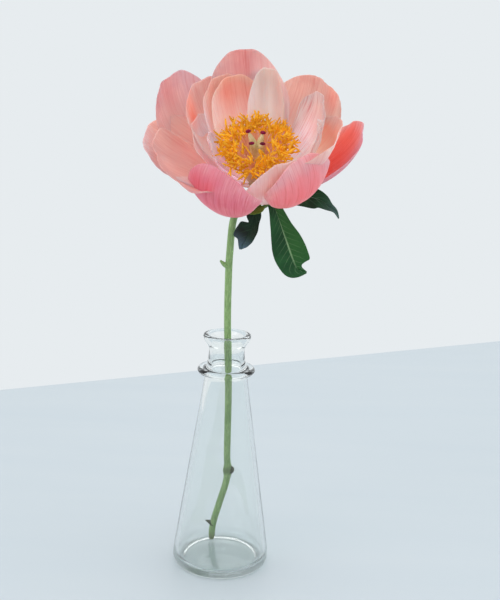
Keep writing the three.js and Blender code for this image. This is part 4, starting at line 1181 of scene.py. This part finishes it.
def addStamens(size):
    values = {"Filament material": materials["filament"], "Anther material": materials["anther"]}
    for name, value in size.items():
        if name in stamenAngles:
            values[name] = math.radians(value)
        else:
            values[name] = value if name in stamenPlain else value * mm
    ring = grown(newObject("stamenRing", bpy.data.meshes.new("stamens")), stamenTree(), values)
    seat = turned("stamenSeat", seatOutline, seatSegments, materials["seat"])
    for piece in (ring, seat):
        piece.data.transform(inMetres(heart))
        settle(piece, "stamens")


addStamens(stamenSize)
print("stamens ready")


# Carpels and their stigmas
carpelSize = {
    "radius": 2.7, "length": 16, "spread": 2.5, "foot": 3.2, "groove": 0.16, "grooveWidth": 0.3,
    "lumps": 0.05, "sides": 48, "rings": 60,
}
# each carpel's direction and how far out its tip stands
carpels = {"stigma_1": (135, 5.6), "stigma_2": (-52, 5.2), "stigma_3": (42, 4.4), "stigma_4": (-120, 4.4)}
stigmaSize = {
    "length": 3.6, "width": 2.0, "height": 1.7, "gap": 0.3, "reach": 0.4, "droop": 0.35, "crinkle": 0.13,
    "fullness": 0.95, "sides": 28, "rings": 40,
}


def carpelRoute(az, out):
    outward = np.array((math.cos(math.radians(az)), math.sin(math.radians(az)), 0))
    spread, length, foot = carpelSize["spread"], carpelSize["length"], carpelSize["foot"]
    stations = ((spread * 0.7, 0), (spread, length * 0.3), (spread, length * 0.6), (out, length))
    return np.array([outward * far + (0, 0, foot + high) for far, high in stations]), outward


def tubeAlong(line, radii, sides, start):  # rings round a line, closed at both ends
    along = unit(np.gradient(line, axis=0))
    across = unit(start - along * (along @ np.asarray(start))[:, None])
    other = np.cross(along, across)
    angle = np.linspace(0, 2 * math.pi, sides, endpoint=False)
    ring = across[:, None] * np.cos(angle)[:, None] + other[:, None] * np.sin(angle)[:, None]
    points = line[:, None] + ring * radii[..., None]
    rows = len(line)
    index = np.arange(rows * sides).reshape(rows, sides)
    after = np.roll(index, -1, axis=1)
    quads = np.stack([index[:-1], after[:-1], after[1:], index[1:]], -1).reshape(-1, 4).tolist()
    low, high = rows * sides, rows * sides + 1
    caps = [(low, after[0][i], index[0][i]) for i in range(sides)]
    caps += [(high, index[-1][i], after[-1][i]) for i in range(sides)]
    return np.vstack([points.reshape(-1, 3), line[:1], line[-1:]]), quads + caps


def addCarpels(size):
    points, faces = [], []
    count = 0
    for number, (az, out) in enumerate(carpels.values()):
        route, outward = carpelRoute(az, out)
        line = smoothRoute(route, size["rings"])
        t = np.linspace(0, 1, size["rings"])[:, None]
        angle = np.linspace(-math.pi, math.pi, size["sides"], endpoint=False)[None, :]
        radii = size["radius"] * (0.75 + 0.9 * t - 1.5 * t ** 2 + 0.12 * t ** 3)
        groove = size["groove"] * np.exp(-((angle / size["grooveWidth"]) ** 2)) * smooth(0.02, 0.2, t)
        lumps = ripples(40 + number, 3.0, np.cos(angle) * 1.3, np.sin(angle) * 1.3, t * 3)
        radii = radii * (1 - groove + size["lumps"] * lumps)
        radii = radii * (1 - 0.35 * smooth(0.93, 1.0, t)) * (0.8 + 0.2 * smooth(0, 0.05, t))
        made, sides = tubeAlong(line, radii, size["sides"], outward)
        points.append(placedBy(heart, made))
        faces += [[i + count for i in face] for face in sides]
        count += len(made)
    settle(newPiece("carpelFlasks", np.vstack(points), faces, materials["carpel"]), "carpels")


def addStigma(name, az, out, seed, size):  # a crest folded over the carpel's tip, with a crinkled edge
    route, _ = carpelRoute(az, out)
    way = unit(route[-1] - route[-2])
    level = np.cross(unit(np.cross(way, (1.0, 0.0, 0.0))), way)
    t = np.linspace(0, 1, size["rings"])
    middle = route[-1] + way * (size["gap"] + size["height"] / 2)
    bend = (t - 0.5) * 2
    line = middle + level * (bend * size["length"] * size["reach"])[:, None]
    line = line - way * (bend ** 2 * size["droop"])[:, None]
    angle = np.linspace(0, 2 * math.pi, size["sides"], endpoint=False)[None, :]
    taper = np.sqrt(np.maximum(0.02, 1 - (np.abs(bend) ** 2.6)))[:, None]
    oval = 0.5 * size["width"] * size["height"] / np.sqrt(
        (size["width"] * np.sin(angle)) ** 2 + (size["height"] * np.cos(angle)) ** 2)
    crinkle = 1 + size["crinkle"] * ripples(seed, 4.0, np.cos(angle), np.sin(angle), t[:, None] * 3)
    made, faces = tubeAlong(line, oval * taper * crinkle * size["fullness"], size["sides"], way)
    piece = newPiece(name.replace("_", "Crest"), placedBy(heart, made), faces, materials["stigma"])
    settle(piece, name)


addCarpels(carpelSize)
for number, (name, (az, out)) in enumerate(carpels.items()):
    addStigma(name, az, out, 60 + number, stigmaSize)
print("carpels ready")
